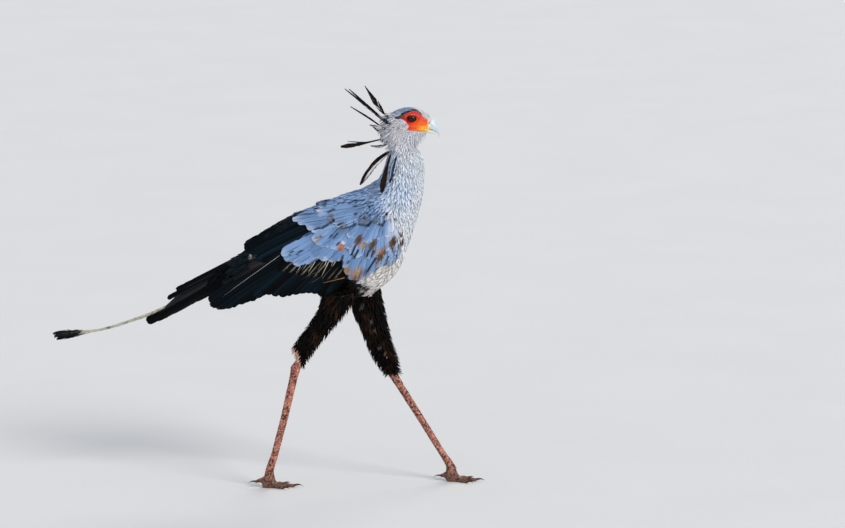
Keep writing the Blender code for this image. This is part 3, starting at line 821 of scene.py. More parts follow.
class Feathers:
    """Closed feather blades, gathered for one piece."""

    def __init__(self):
        self.points, self.loops, self.sizes = [], [], []
        self.dyes, self.lots, self.vanes, self.patches = [], [], [], []
        self.count = 0

    def blades(self, body, dyes, lots, along, across, patches):
        """Blades from rings of points (n, stations, ring, 3), closed at both ends and facing outwards."""
        number, stations, count = body.shape[:3]
        start = self.count + np.arange(number)[:, None, None] * stations * count
        rings = start + np.arange(stations - 1)[None, :, None] * count
        here = rings + np.arange(count)
        after = rings + (np.arange(count) + 1) % count
        walls = np.stack([here, after, after + count, here + count], -1).reshape(number, -1, 4)
        first = start[:, :, 0] + np.arange(count)[::-1]
        last = start[:, :, 0] + (stations - 1) * count + np.arange(count)
        middle = body - body.mean((1, 2), keepdims=True)
        a, b = middle[:, :-1], np.roll(middle, -1, axis=2)[:, :-1]
        c, d = np.roll(middle, -1, axis=2)[:, 1:], middle[:, 1:]
        volume = (np.cross(b, c) * a + np.cross(c, d) * a).sum((1, 2, 3))
        inward = volume < 0
        for faces in (walls, first, last):
            faces[inward] = faces[inward][..., ::-1]
        self.loops += [walls.ravel(), first.ravel(), last.ravel()]
        self.sizes += [np.full(walls.shape[0] * walls.shape[1], 4), np.full(2 * number, count)]
        self.points.append(body.reshape(-1, 3))
        vane = np.stack(np.broadcast_arrays((across[None, :] + 1) / 2, along[:, None]), -1)
        self.vanes.append(np.broadcast_to(vane[None], (*body.shape[:3], 2)).reshape(-1, 2))
        corner, size = patches
        self.patches.append((corner[:, None, None, :] + vane[None] * size).reshape(-1, 2))
        self.dyes.append(np.broadcast_to(dyes, body.shape).reshape(-1, 3))
        self.lots.append(np.repeat(lots, stations * count))
        self.count += number * stations * count

    def tufts(self, spines, ups, halves, dyes, spots, camber=0.28, thick=0.3, lots=None, ring=SMALL_RING):
        """Small blades along spines (n, stations, 3), each a patch at its root's spot on the unwrap."""
        number, stations = spines.shape[:2]
        across = np.array([place for place, _ in ring], float)
        under = np.array([below for _, below in ring], float)
        heading = unit(np.gradient(spines, axis=1))
        sides = unit(np.cross(ups, heading))
        ups = unit(np.cross(heading, sides))
        rise = (halves * camber)[..., None] * (1 - across ** 2)
        rise = rise - np.minimum(halves * 0.5, thick * MM)[..., None] * under
        body = (spines[:, :, None] + sides[:, :, None] * (halves[:, :, None] * across)[..., None]
                + ups[:, :, None] * rise[..., None])
        if dyes.ndim < 4:
            dyes = dyes[:, :, None, :] if dyes.ndim == 3 else dyes[:, None, None, :]
        lots = rng.random(number) if lots is None else lots
        self.blades(body, dyes, lots, np.linspace(0, 1, stations), across, (spots - PATCH / 2, PATCH))

    def piece(self, name, finish, slot, replaced=()):
        points = np.concatenate(self.points)
        loops = np.concatenate(self.loops).astype(np.int32)
        sizes = np.concatenate(self.sizes).astype(np.int32)
        mesh = bpy.data.meshes.new(name)
        mesh.vertices.add(len(points))
        mesh.vertices.foreach_set("co", points.astype(np.float32).ravel())
        mesh.loops.add(len(loops))
        mesh.loops.foreach_set("vertex_index", loops)
        mesh.polygons.add(len(sizes))
        starts = np.concatenate(([0], np.cumsum(sizes)[:-1])).astype(np.int32)
        mesh.polygons.foreach_set("loop_start", starts)
        mesh.update(calc_edges=True)
        for title, values in (("OFBake", self.patches), ("vane", self.vanes)):
            layer = mesh.uv_layers.new(name=title)
            layer.uv.foreach_set("vector", np.concatenate(values)[loops].astype(np.float32).ravel())
        keep(mesh, "dye", np.concatenate(self.dyes))
        keep(mesh, "lot", np.concatenate(self.lots))
        add_piece(name, mesh, finish, replaced)


def random_spots(corners, index):
    """A place at random on each of these triangles."""
    a, b = rng.random((2, len(index), 1))
    flip = a + b > 1
    a, b = np.where(flip, 1 - a, a), np.where(flip, 1 - b, b)
    return corners[index, 0] * (1 - a - b) + corners[index, 1] * a + corners[index, 2] * b


def doubled_areas(corners):
    return np.linalg.norm(np.cross(corners[:, 1] - corners[:, 0], corners[:, 2] - corners[:, 0]), axis=1)


# Roots that are tried for each one that has room
TRIES = 4.0


def scatter(points, triangles, allowed, spacing):
    """Roots spread over the allowed triangles, no nearer each other than the spacing at each."""
    chosen = triangles[allowed]
    corners = points[chosen]
    gaps = spacing[chosen].mean(1)
    wanted = doubled_areas(corners) / 2 / gaps ** 2 * TRIES
    number = np.floor(wanted + rng.random(len(wanted))).astype(int)
    index = np.repeat(np.arange(len(chosen)), number)
    index = index[rng.permutation(len(index))]
    tries = random_spots(corners, index)
    radii = gaps[index]
    cells = np.floor(tries / radii.max()).astype(int)
    steps = list(itertools.product((-1, 0, 1), repeat=3))
    taken = {}
    kept = []
    for i, (place, radius, (cx, cy, cz)) in enumerate(zip(tries.tolist(), radii.tolist(), cells.tolist())):
        near = (other for dx, dy, dz in steps for other in taken.get((cx + dx, cy + dy, cz + dz), ()))
        if all(math.dist(other, place) >= radius for other in near):
            taken.setdefault((cx, cy, cz), []).append(place)
            kept.append(i)
    return tries[kept]


# Free edge of the body's unwrap, and the part of it that is used
MAP_EDGE, MAP_SPAN = 0.03, 0.94


def unwrap(roots, line):
    """Places of roots on the body's own unwrap: angle round a line through it, and distance along it."""
    line = np.array(line, float) * MM
    ahead = np.diff(line, axis=0)
    lengths = np.linalg.norm(ahead, axis=1)
    starts = np.concatenate(([0], np.cumsum(lengths)[:-1]))
    best = np.full(len(roots), 1e9)
    down = np.zeros(len(roots))
    angle = np.zeros(len(roots))
    for start, step, length, before in zip(line, ahead, lengths, starts):
        offset = roots - start
        t = np.clip(offset @ step / length ** 2, 0, 1)
        apart = offset - t[:, None] * step
        far = np.linalg.norm(apart, axis=1)
        up = unit(np.cross(step, (0, 1, 0)))
        own = far < best
        best = np.where(own, far, best)
        down = np.where(own, before + t * length, down)
        angle = np.where(own, np.arctan2(apart[:, 1], apart @ up), angle)
    span = max(np.ptp(down), 1e-6)
    round_it = 0.5 + MAP_SPAN * angle / (2 * math.pi)
    return np.stack([round_it, MAP_EDGE + MAP_SPAN * (down - down.min()) / span], -1)


BODY_LINE = ((-330, 0, 425), (-150, 0, 520), (-66, 0, 575), (60, 0, 600), (200, 0, 625), (290, 0, 670),
             (335, 0, 740), (345, 0, 830), (330, 0, 885), (340, 0, 920), (405, 0, 918))
THIGH_LINES = {"right": ((190, -50, 600), (175, -57, 490), (110, -57, 380), (70, -55, 315)),
               "left": ((220, 50, 600), (240, 57, 470), (270, 59, 370), (305, 58, 275))}
THIGH_LAY = {
    "right": ((190, 600, -0.35, -0.95, 32, "thigh"), (165, 480, -0.45, -0.9, 28, "thigh"),
              (120, 400, -0.55, -0.83, 22, "thigh"), (80, 335, -0.5, -0.86, 14, "thigh"),
              (70, 310, -0.3, -0.95, 11, "thigh")),
    "left": ((230, 600, 0.1, -1.0, 32, "thigh"), (235, 480, 0.15, -1.0, 28, "thigh"),
             (260, 390, 0.28, -0.95, 22, "thigh"), (295, 300, 0.3, -0.95, 14, "thigh"),
             (308, 270, 0.3, -0.95, 11, "thigh"))}
BOOT_HEIGHTS = (0.26, 0.33, 0.41, 0.46, 0.55)
BOOT_DEPTH = (15, 13, 9.5, 8, 6)
BOOT_FRONT = {"right": (0, 0, 2, 12, 12), "left": (0, 0, 0, 0, 0)}
TAIL_LAY = ((-30, 600, -0.85, -0.52, 46, "black"), (-150, 520, -0.82, -0.57, 46, "black"),
            (-300, 430, -0.75, -0.65, 40, "black"), (-60, 540, -0.9, -0.42, 40, "black"))

# Where the small coverts of the wing grow, in the side plane
COVERT_FIELD = ((75, 760), (100, 718), (122, 706), (150, 706), (185, 694), (215, 676), (250, 668), (280, 660),
                (292, 610), (320, 588), (370, 620), (420, 700), (400, 900), (75, 900))

# Lay of the ruffled tufts behind the head and under the chin
NAPE_LAY = ((300, 945, -0.85, -0.15, 22, "throat"), (285, 915, -0.9, -0.4, 26, "throat"),
            (295, 880, -0.8, -0.7, 26, "throat"), (325, 915, -0.8, -0.35, 15, "cheek"),
            (320, 885, -0.5, -0.85, 18, "throat"))
CHIN_LAY = ((400, 895, -0.25, -1.0, 11, "throat"), (380, 888, -0.1, -1.0, 17, "throat"),
            (360, 880, -0.1, -1.0, 17, "throat"))

# How far a feather's length strays from the table's, and its tip's height from the coat's depth
LENGTH_SPREAD = (0.82, 1.18)
LIFT_SPREAD = (0.7, 1.0)
LOOSE_LIFT = 2.2 * MM
ROOT_DEPTH = 0.6 * MM


def lay_coat(name, skin, roots, kinds, table, finish, slot, shape=SLIM, line=BODY_LINE, wide=0.42, depth=5.0,
             tint=None, stray=0.14, stand=0.8, paint=None, marks=False, camber=0.28, hang=0.0):
    """Feathers rooted on the skin that follow it and the lay of the plumage."""
    number, steps = len(roots), len(shape) - 1
    here, up, _ = skin.nearest(roots)
    corners = unwrap(here, line)
    lengths = lay_at(here, table)[1] * rng.uniform(*LENGTH_SPREAD, number)
    turn = rng.normal(0, stray, number)[:, None]
    if isinstance(depth, tuple):
        heights, all_round, front = depth
        front = np.interp(roots[:, 2], heights, front) * ease(up[:, 0], 0.0, 0.6)
        depth = np.interp(roots[:, 2], heights, all_round) + front
    lift = depth * MM * rng.uniform(*LIFT_SPREAD, number) + LOOSE_LIFT * rng.random(number) ** 6
    spines, ups, colours = [], [], None
    along = np.linspace(0, 1, steps + 1)
    for share in along:
        spines.append(here + up * (lift * share ** stand - ROOT_DEPTH * (1 - share))[:, None])
        ups.append(up)
        if colours is None and share > 0.6:
            colours = plumage_paint(here, kinds) if paint is None else np.tile(linear(paint), (number, 1))
        heading, _, _ = lay_at(here, table)
        flat = unit(heading - dot(heading, up) * up)
        flat = unit(flat + np.cross(up, flat) * turn)
        here, up, _ = skin.nearest(here + flat * (lengths / steps)[:, None])
    spines = np.stack(spines, 1)
    spines[:, :, 2] -= hang * MM * rng.random((number, 1)) * along ** 1.5
    halves = lengths[:, None] * wide * np.array(shape)[None, :] / 2
    # Painted shade: each feather is darker towards its root, where the feathers over it shade it
    dyes = colours[:, None, :] * (0.84 + 0.16 * ease(along, 0.1, 0.7))[None, :, None]
    if tint is not None:
        dyes = tint(dyes, roots, along)
    if marks:
        spots = spines[:, :, None, (0, 2)]
        dyes = marked(stained(dyes if dyes.ndim == 4 else dyes[:, :, None], spots, WORN), spots, 0.6)
    batch = Feathers()
    batch.tufts(spines, np.stack(ups, 1), halves, dyes, corners, camber)
    batch.piece(name, finish, slot)


def marked(colours, spots, soft=2.0):
    """Short dark marks, painted on feathers (n, stations, ring, 3) at these spots: most of them painted shade
    in the gaps between feathers.
    """
    share = np.zeros(spots.shape[:-1])
    for x0, z0, x1, z1, half in DASHES:
        start, run = np.array((x0, z0)) * MM, np.array((x1 - x0, z1 - z0)) * MM
        t = np.clip((spots - start) @ run / (run @ run), 0, 1)
        apart = np.linalg.norm(spots - start - t[..., None] * run, axis=-1)
        share = np.maximum(share, 1 - ease(apart, half * 0.9 * MM, (half * 1.2 + soft) * MM))
    return mixed(colours, linear("slate") * 0.5, share)


def stained(colours, spots, places):
    """Worn and stained places, painted on feathers (n, stations, ring, 3) at these spots."""
    turn = np.array((math.cos(WORN_HEADING), math.sin(WORN_HEADING)))
    for x, z, long, wide, name, strength in places:
        apart = spots / MM - (x, z)
        down = apart @ turn
        aside = apart[..., 0] * turn[1] - apart[..., 1] * turn[0]
        streaks = np.sin(aside * 1.5 + 1.2 * np.sin(down * 0.22 + x)) * np.sin(down * 0.16 + aside * 0.3 + z)
        near = 1 - ease(np.hypot(down / long, aside / wide) + 0.3 * streaks, 0.55, 1.15)
        colours = mixed(colours, linear(name) * (1 + 0.4 * streaks)[..., None], near * strength)
    return colours


def some(number, share, low=0.5, high=1.0):
    """A strength for a share of the feathers, chosen at random, and 0 for the others."""
    return (rng.random(number) < share) * rng.uniform(low, high, number)


def tipped(dyes, paint, along, start, end, shares):
    """Feathers that turn to another paint towards their tips."""
    return mixed(dyes, paint, ease(along, start, end)[None, :] * shares[:, None])


def dashed(dyes, chosen, paint, start, end):
    """A dark line along one edge of the chosen feathers: colours for each ring of each feather."""
    along = np.linspace(0, 1, dyes.shape[1])
    rings = np.array(((1.0, 0.25, 0.0, 0.6), (0.0, 0.25, 1.0, 0.6)))[rng.integers(0, 2, len(dyes))]
    line = (ease(along, start, start + 0.2) * (1 - ease(along, end, 1.0)))[None, :] * chosen[:, None]
    return mixed(dyes[:, :, None, :], paint, line[:, :, None] * rings[:, None, :])


def flecked(share, paint, low=0.4, high=0.9):
    """Some feathers carry a short streak of the paint along one edge; in slate it is painted shade between
    the feathers.
    """
    return lambda dyes, roots, along: dashed(dyes, some(len(dyes), share), paint, low, high)


def neck_tint(dyes, roots, along):
    """Painted shade between the feathers: dark flecks along one edge of some, most of them on the middle of
    each side of the neck, hardly any along its front.
    """
    x, z = roots[:, 0] / MM, roots[:, 2] / MM
    front = np.interp(z, (700, 760, 820, 860, 885), (330, 352, 372, 372, 372))
    chosen = some(len(dyes), 0.26 * (1 - ease(x, front, front + 22)) * ease(x, 275, 300) + 0.03, 0.55)
    dyes = tipped(dyes, "neck_front", along, 0.4, 0.9, rng.uniform(0.0, 0.7, len(dyes)))
    # Painted shade: a slate line along one edge of the chosen feathers
    return dashed(dyes, chosen, "slate", 0.35, 0.8)


def body_tint(dyes, roots, along):
    """Pale tips over the back, and a few dark streaks."""
    x, z = roots[:, 0] / MM, roots[:, 2] / MM
    back = ease(z, 690, 730) * (1 - ease(x, 300, 345))
    dyes = tipped(dyes, "covert_rim", along, 0.5, 0.9, back * rng.random(len(dyes)) ** 2 * 0.8)
    return dashed(dyes, some(len(dyes), 0.04), "smudge", 0.4, 0.9)


def head_tint(dyes, roots, along):
    """The head's few streaks, and painted shadow on the feathers along the top of the bare face, where the
    brow shades its edge.
    """
    # Painted shadow under the brow: feathers close above the bare face are darkened towards black
    above = (roots[:, 2] > 0.938) & (roots[:, 0] < 0.386)
    rim = ease(inside_by(roots[:, (0, 2)], BARE_FACE), -3.6 * MM, -1.8 * MM) * above
    dyes = mixed(dyes, "black", (rim * rng.uniform(0.7, 1.0, len(roots)))[:, None])
    return dashed(dyes, some(len(dyes), 0.09, 0.3, 0.7), "leg_brown", 0.3, 0.8)


def wing_tint(dyes, roots, along):
    """Pale tips on the grey coverts, and painted shade as a dark line along one edge of some of them; the
    black feathers stay black.
    """
    grey = ease(dyes.sum(-1).max(1), 0.1, 0.3)
    dyes = tipped(dyes, "covert_rim", along, 0.6, 1.0, rng.uniform(0.0, 0.8, len(dyes)) * grey)
    # Painted shade: a slate line along one edge of some grey feathers
    return dashed(dyes, some(len(dyes), 0.24) * grey, "slate", 0.4, 0.9)


def build_coat(mesh, points, kinds, bare, finishes):
    """The small feathers, piece by piece."""
    triangles = triangles_of(mesh)
    skin = Surface(points, triangles, read(mesh.vertex_normals, "vector"))
    x, y, z = points[triangles].mean(1).T
    flat = np.stack([x, z], -1)
    kind = kinds[triangles[:, 0]]
    bald = bare[triangles].max(1)

    def grow(name, allowed, gap, table=LAY, finish="contour", **settings):
        roots = scatter(points, triangles, allowed, lay_at(points, table)[1] * gap)
        _, _, hit = skin.nearest(roots)
        slot = "plumage_grey" if finish == "contour" else "plumage_black"
        lay_coat(name, skin, roots, kinds[triangles[hit][:, 0]], table, finishes[finish], slot, **settings)

    off_eye = np.hypot(x - EYE.x, z - EYE.z) > 15 * MM
    grow("coat_head", (kind == "head") & (bald < 0.7) & (x < 0.4045) & off_eye, 0.25, wide=0.44, depth=1.9,
         tint=head_tint, marks=True, camber=0.16)
    nape = np.isin(kind, ("head", "neck")) & (x < 0.322) & (z > 0.868) & (z < 0.95)
    # The nape's slate flecks are painted shade between its tufts
    grow("coat_nape", nape, 0.26, NAPE_LAY, shape=TUFT, wide=0.24, depth=15.0,
         tint=flecked(0.3, "slate", 0.2, 0.7), stray=0.3, stand=1.6, paint="cheek", marks=True)
    chin = (kind == "head") & (np.abs(y) > 4 * MM) & (x > 0.352) & (x < 0.402) & (z < 0.905) & (bald < 0.1)
    grow("coat_chin", chin, 0.26, CHIN_LAY, shape=TUFT, wide=0.24, depth=8.0, stray=0.4, stand=1.3,
         paint="throat", hang=15.0)
    grow("coat_neck", kind == "neck", 0.16, wide=0.40, depth=4.6, tint=neck_tint, stray=0.16, camber=0.15)
    grow("coat_rump", (kind == "trunk") & (x < 0.06) & (x > -0.07), 0.17, finish="black", shape=ROUNDED)
    grow("coat_body", (kind == "trunk") & (x > 0.06), 0.15, wide=0.50, depth=5.2, tint=body_tint, stray=0.2,
         marks=True, camber=0.16)
    grow("coat_tail", (kind == "tail") & (x > -0.13), 0.24, TAIL_LAY, "black", shape=ROUNDED, depth=4.0)
    for name, sign in SIDES:
        own = (kind == "wing") & ((inside_by(flat, COVERT_FIELD) > 0) | (np.abs(y) < 0.035)) & (y * sign > 0)
        grow("coat_wing_" + name, own, 0.19, WING_LAY, shape=ROUNDED, depth=7.6, tint=wing_tint, marks=True)
        own = (kind == "thigh") & (y * sign > 0)
        if name == "right":
            own &= inside_by(flat, HOCK) < 0
        grow("coat_thigh_" + name, own, 0.22, THIGH_LAY[name], "thigh", line=THIGH_LINES[name], wide=0.3,
             depth=(BOOT_HEIGHTS, BOOT_DEPTH, BOOT_FRONT[name]), stray=0.18, marks=name == "left",
             tint=flecked(0.0 if name == "right" else 0.005, "cheek", 0.5))


# Rows of large feathers

class SideForm:
    """The outer face of some nodes: its distance from the middle plane over the side plane."""

    STEP = 5 * MM
    START = 0.3
    FILL_ROUNDS, SMOOTH_ROUNDS = 400, 6

    def __init__(self, names, low, high, saddle=False):
        points, triangles, _ = joined([node_part(name) for name in names] + [saddle_form()] * saddle)
        self.low = low
        xs = np.arange(low[0], high[0], self.STEP)
        zs = np.arange(low[1], high[1], self.STEP)
        grid = np.stack(np.meshgrid(xs, zs, indexing="ij"), -1).reshape(-1, 2)
        start = np.stack([grid[:, 0], np.full(len(grid), -self.START), grid[:, 1]], -1)
        found = Surface(points, triangles).struck(start, np.broadcast_to((0.0, 1.0, 0.0), start.shape))
        self.far = (self.START - found).reshape(len(xs), len(zs))
        known = (found < self.START).reshape(self.far.shape)
        self.far = np.where(known, self.far, self.far[known].mean())
        for _ in range(self.FILL_ROUNDS):
            self.far = np.where(known, self.far, self.spread())
        for _ in range(self.SMOOTH_ROUNDS):
            self.far = self.far * 0.4 + self.spread() * 0.6

    def spread(self):
        padded = np.pad(self.far, 1, mode="edge")
        return (padded[2:, 1:-1] + padded[:-2, 1:-1] + padded[1:-1, 2:] + padded[1:-1, :-2]) / 4

    def distance(self, x, z):
        u = np.clip((x - self.low[0]) / self.STEP, 0, self.far.shape[0] - 1.001)
        v = np.clip((z - self.low[1]) / self.STEP, 0, self.far.shape[1] - 1.001)
        i, j = u.astype(int), v.astype(int)
        a, b = u - i, v - j
        return (self.far[i, j] * (1 - a) * (1 - b) + self.far[i + 1, j] * a * (1 - b)
                + self.far[i, j + 1] * (1 - a) * b + self.far[i + 1, j + 1] * a * b)


WING = SideForm(("wing_right", "trunk", "neck"), (-0.20, 0.40), (0.38, 0.82), saddle=True)
BLADE = SideForm(("wing_right",), (-0.20, 0.40), (0.38, 0.82))
TAIL = SideForm(("tail",), (-0.34, 0.40), (0.0, 0.64))

# Rows of large feathers in the side plane, in millimetres: curve of roots, curve of tips, count, half width,
# height of root and of tip over the form, fall between neighbours, bow, and the way they are painted
WING_ROWS = (
    (((66, 618), (56, 600)),
     ((-52, 556), (-84, 534), (-116, 510)), 4, 13, -4.8, -2.8, 0.5, -4, "brown_black"),
    (((95, 622), (80, 590), (75, 560)),
     ((-151, 479), (-145, 467), (-127, 461), (-104, 468), (-80, 478), (-55, 487)), 8, 14, -4.4, -2.4,
     0.5, -6, "black"),
    (((100, 600), (150, 590), (215, 585)),
     ((-40, 494), (-12, 500), (22, 495), (52, 499), (86, 507), (112, 500), (136, 498), (158, 508)), 13,
     13, -4.2, -1.6, 0.6, -5, "black"),
    (((108, 690), (112, 670), (108, 654), (100, 636)),
     ((-62, 606), (-57, 598), (-44, 591), (-14, 584)), 6, 13, -3.6, 0.4, 0.7, -5, "blue"),
    (((120, 640), (170, 625), (225, 600)),
     ((24, 560), (60, 552), (95, 548), (132, 540), (170, 536)), 10, 10, -3.4, -0.4, 0.3, -3, "buff_edge"),
    (((140, 668), (150, 655), (160, 640)),
     ((30, 603), (37, 588), (56, 581), (80, 589)), 4, 15, -3.0, 1.8, 0.9, 4, "covert"),
    (((160, 655), (185, 650), (215, 650)),
     ((100, 602), (120, 593), (142, 588), (166, 590)), 5, 14, -3.0, 2.0, 0.9, 3, "covert"),
    (((225, 640), (260, 640), (305, 640)),
     ((186, 572), (199, 549), (214, 534), (234, 540), (256, 558), (276, 578), (296, 600)), 9, 12, -3.0,
     2.2, 0.9, -3, "covert_brown"),
    (((178, 692), (195, 684), (215, 676)),
     ((108, 640), (128, 628), (152, 622), (175, 620)), 7, 11, -2.6, 2.6, 0.8, 3, "covert"),
    (((235, 680), (270, 680), (312, 690)),
     ((196, 614), (220, 598), (246, 594), (272, 602), (296, 618), (314, 638)), 11, 10.5, -2.6, 2.8, 0.8,
     -3, "covert_tip"),
    (((235, 722), (228, 708), (215, 692)),
     ((62, 688), (74, 684), (86, 678), (98, 668), (112, 658)), 14, 6.8, -2.4, 3.0, 0.5, 1, "covert"),
    (((275, 742), (262, 726), (245, 712)),
     ((118, 709), (134, 702), (150, 691), (164, 678)), 11, 6.4, -2.0, 3.4, 0.5, 1, "covert"),
    (((255, 700), (285, 700), (308, 704)),
     ((196, 652), (225, 640), (255, 636), (284, 646), (304, 660)), 10, 9, -2.4, 3.0, 0.6, 0, "covert"))
TAIL_ROWS = (
    (((-60, 592), (-60, 585)),
     ((-238, 501), (-258, 481)), 2, 4.5, -3.6, -2.2, 0.4, 0, "rim"),
    (((-25, 572), (-22, 588)),
     ((-186, 484), (-212, 470), (-238, 456), (-262, 441), (-287, 428), (-311, 420)), 8, 9.5, -3.2, -1.0,
     -0.9, 3, "rim"))
FEATHER_STEPS = 22

# Pale shafts and worn edges of the flight feathers: x, z of both ends, half width, height (mm) and paint
LINES = (
    (27, 598, -116, 492, 0.7, 1.6, "shaft"), (-60, 560, -128, 506, 0.3, 0.4, "slate"),
    (102, 606, 69, 558, 0.9, 2.0, "buff"), (110, 598, 84, 564, 0.8, 2.0, "buff"),
    (124, 598, 99, 558, 1.1, 2.0, "buff"), (153, 592, 132, 548, 1.7, 2.0, "buff"),
    (148, 595, 139, 574, 1.0, 2.2, "buff"), (164, 595, 156, 574, 1.2, 2.0, "tan"),
    (176, 602, 160, 575, 1.6, 2.0, "buff"), (118, 559, 77, 538, 0.5, 1.8, "olive"),
    (131, 548, 89, 521, 0.45, 1.6, "olive"), (120, 592, 96, 556, 2.2, 1.4, "olive"),
    (140, 592, 118, 556, 2.0, 1.4, "olive"), (194, 550, 127, 532, 1.3, 3.4, "leg_brown"),
    (190, 545.5, 130, 529.5, 0.7, 4.2, "tan"))

# Worn and stained places on the wing: x, z, half length, half width (mm), paint, strength
WORN = (
    (183, 625, 13, 10, "rust", 1.0), (187, 636, 5, 5, "covert_rim", 0.8),
    (226, 642, 18, 9, "brown", 1.0), (238, 629, 13, 8, "tan", 0.85), (261, 630, 20, 8, "brown", 1.0),
    (281, 602, 28, 9, "brown", 1.0), (284, 614, 10, 6, "rust", 0.6), (272, 612, 14, 5, "tan", 0.6),
    (311, 637, 18, 9, "brown", 1.0), (334, 650, 9, 6, "brown", 0.9), (335, 632, 14, 6, "brown", 0.9),
    (325, 622, 9, 6, "tan", 0.8), (325, 916, 5, 4, "tan", 0.6), (194, 562, 16, 13, "tan", 0.95),
    (219, 552, 18, 16, "rust", 0.7), (222, 560, 20, 12, "tan", 0.8), (240, 560, 12, 8, "brown", 0.5),
    (154, 695, 16, 8, "smudge", 0.8), (122, 640, 22, 4, "tan", 0.7), (185, 676, 18, 8, "smudge", 0.6),
    (238, 692, 13, 12, "smudge", 0.6), (272, 690, 12, 12, "smudge", 0.45),
    (231, 451, 8, 4, "shaft", 0.4), (256, 411, 9, 3, "shaft", 0.4), (263, 390, 7, 3, "shaft", 0.35),
    (277, 346, 6, 3, "shaft", 0.4), (291, 331, 6, 3, "tan", 0.4), (142, 594, 9, 7, "covert_rim", 0.5),
    (-47, 592, 6, 3, "long_pale", 0.9), (-38, 588, 8, 2, "smudge", 0.4))
WORN_HEADING = math.radians(62)

# Short dark marks, most of them painted shade in the gaps between the coverts, a few of them dark streaks on
# the head that carry on the bases of the crest plumes: x, z of both ends and half width, in millimetres
DASHES = (
    (206, 731, 223, 737, 1.5), (217, 725, 225, 730, 1.1), (232, 728, 238, 731, 1.0),
    (150, 708, 162, 715, 1.1), (112, 711, 125, 716, 0.9), (137, 719, 145, 723, 0.8),
    (164, 688, 156, 701, 1.6), (133, 669, 162, 687, 1.5), (115, 665, 129, 671, 1.0),
    (173, 678, 186, 684, 1.2), (194, 674, 212, 678, 1.2), (164, 647, 173, 658, 1.3),
    (154, 648, 159, 654, 0.9), (121, 645, 131, 649, 1.2), (228, 681, 251, 678, 1.5),
    (250, 678, 257, 688, 1.2), (265, 688, 286, 678, 1.5), (286, 678, 291, 688, 1.0),
    (237, 701, 239, 687, 1.0), (253, 723, 259, 731, 0.9), (294, 701, 301, 710, 1.2),
    (315, 688, 319, 699, 0.5), (330, 688, 332, 700, 0.5), (348, 723, 353, 711, 1.1),
    (217, 627, 208, 606, 1.7), (225, 618, 215, 599, 1.5), (251, 616, 246, 601, 1.2),
    (263, 614, 258, 601, 1.2), (202, 591, 198, 584, 0.9), (269, 597, 248, 563, 1.6),
    (298, 591, 274, 567, 1.6), (178, 636, 172, 630, 1.3), (62, 613, 51, 601, 0.9),
    (83, 614, 70, 602, 0.9), (102, 656, 93, 646, 0.9), (214, 701, 220, 709, 0.8),
    (307, 620, 309, 629, 1.2), (321, 610, 326, 614, 1.2), (187, 604, 183, 592, 1.6),
    (182, 586, 178, 566, 4.6), (222, 520, 244, 508, 6.0), (284, 938, 301, 926, 3.2),
    (275, 925, 289, 912, 1.6), (291, 951, 297, 941, 2.2), (343, 927, 345, 921, 0.9),
    (330, 655, 338, 662, 1.2), (338, 640, 334, 622, 1.3))


def row_paint(way, number, along, across, spots):
    """Paint of a row's feathers, for each station and ring, and a number for each feather."""
    lots = rng.random(number)
    lot, other, third = (values[:, None, None] for values in (lots, *rng.random((2, number))))
    u, v = across[None, None, :], along[None, :, None]
    if way in ("black", "blue"):
        colour = mixed("black", linear("blue_black") * 1.5, lot * (0.9 if way == "blue" else 0.5))
    elif way == "brown_black":
        colour = mixed("black", "umber", 0.6 + 0.4 * lot)
    elif way in ("buff_edge", "rim"):
        edge = ease(u, 0.55, 1.0) * ease(v, 0.35, 0.6) * (1 - ease(v, 0.8, 1.0))
        edge = edge * (lot > 0.3) * (0.3 + 0.7 * lot)
        colour = mixed("black", "buff" if way == "buff_edge" else linear("cheek") * 0.12, edge * 0.4)
    else:
        rim = np.maximum(ease(np.abs(u), 0.6, 1.0) * 0.45, ease(v, 0.84, 1.0) * 0.8) * ease(v, 0.35, 0.7)
        # Painted shade: a dark slate line along one edge of some coverts, where they meet the next feather
        edge = ease(u * np.sign(third - 0.5), 0.5, 1.0) * (np.abs(third - 0.5) > 0.2)
        colour = layered(linear("covert"), (
            ("covert_pale", 0.5 * lot * (0.3 + 0.7 * v) + 0.3 * ease(u, 0.5, 1)),
            ("covert_rim", rim * (0.25 + 0.75 * other)),
            ("slate", edge * (1 - ease(v, 0.75, 0.95)) * 0.75)))
        # Painted shade: each covert is darker towards its root, under the feathers that lie over it
        colour = colour * (0.66 + 0.34 * ease(v, 0.1, 0.6))[..., None]
        colour = mixed(colour, "throat", ease(spots[..., 0], 0.286, 0.326) * (0.45 + 0.5 * other))
        colour = marked(colour, spots)
    worn = WORN if way.startswith("covert") else [place for place in WORN if place[0] < 0]
    return stained(colour, spots, worn), lots


# Large feathers: unevenness of roots and tips, fraying of edges, overlap, thickness, and their cells' use
UNEVEN_ROOTS = 1.6 * MM
UNEVEN_TIPS = 1.5 * MM
UNEVEN_COVERTS = 2.4 * MM
FRAY_DEPTH = 0.16
FRAY_SHARE = 0.14
LAP = 1.0 * MM
VANE_THICKNESS = 0.5 * MM
CELL_EDGE, CELL_SPAN = 0.08, 0.84


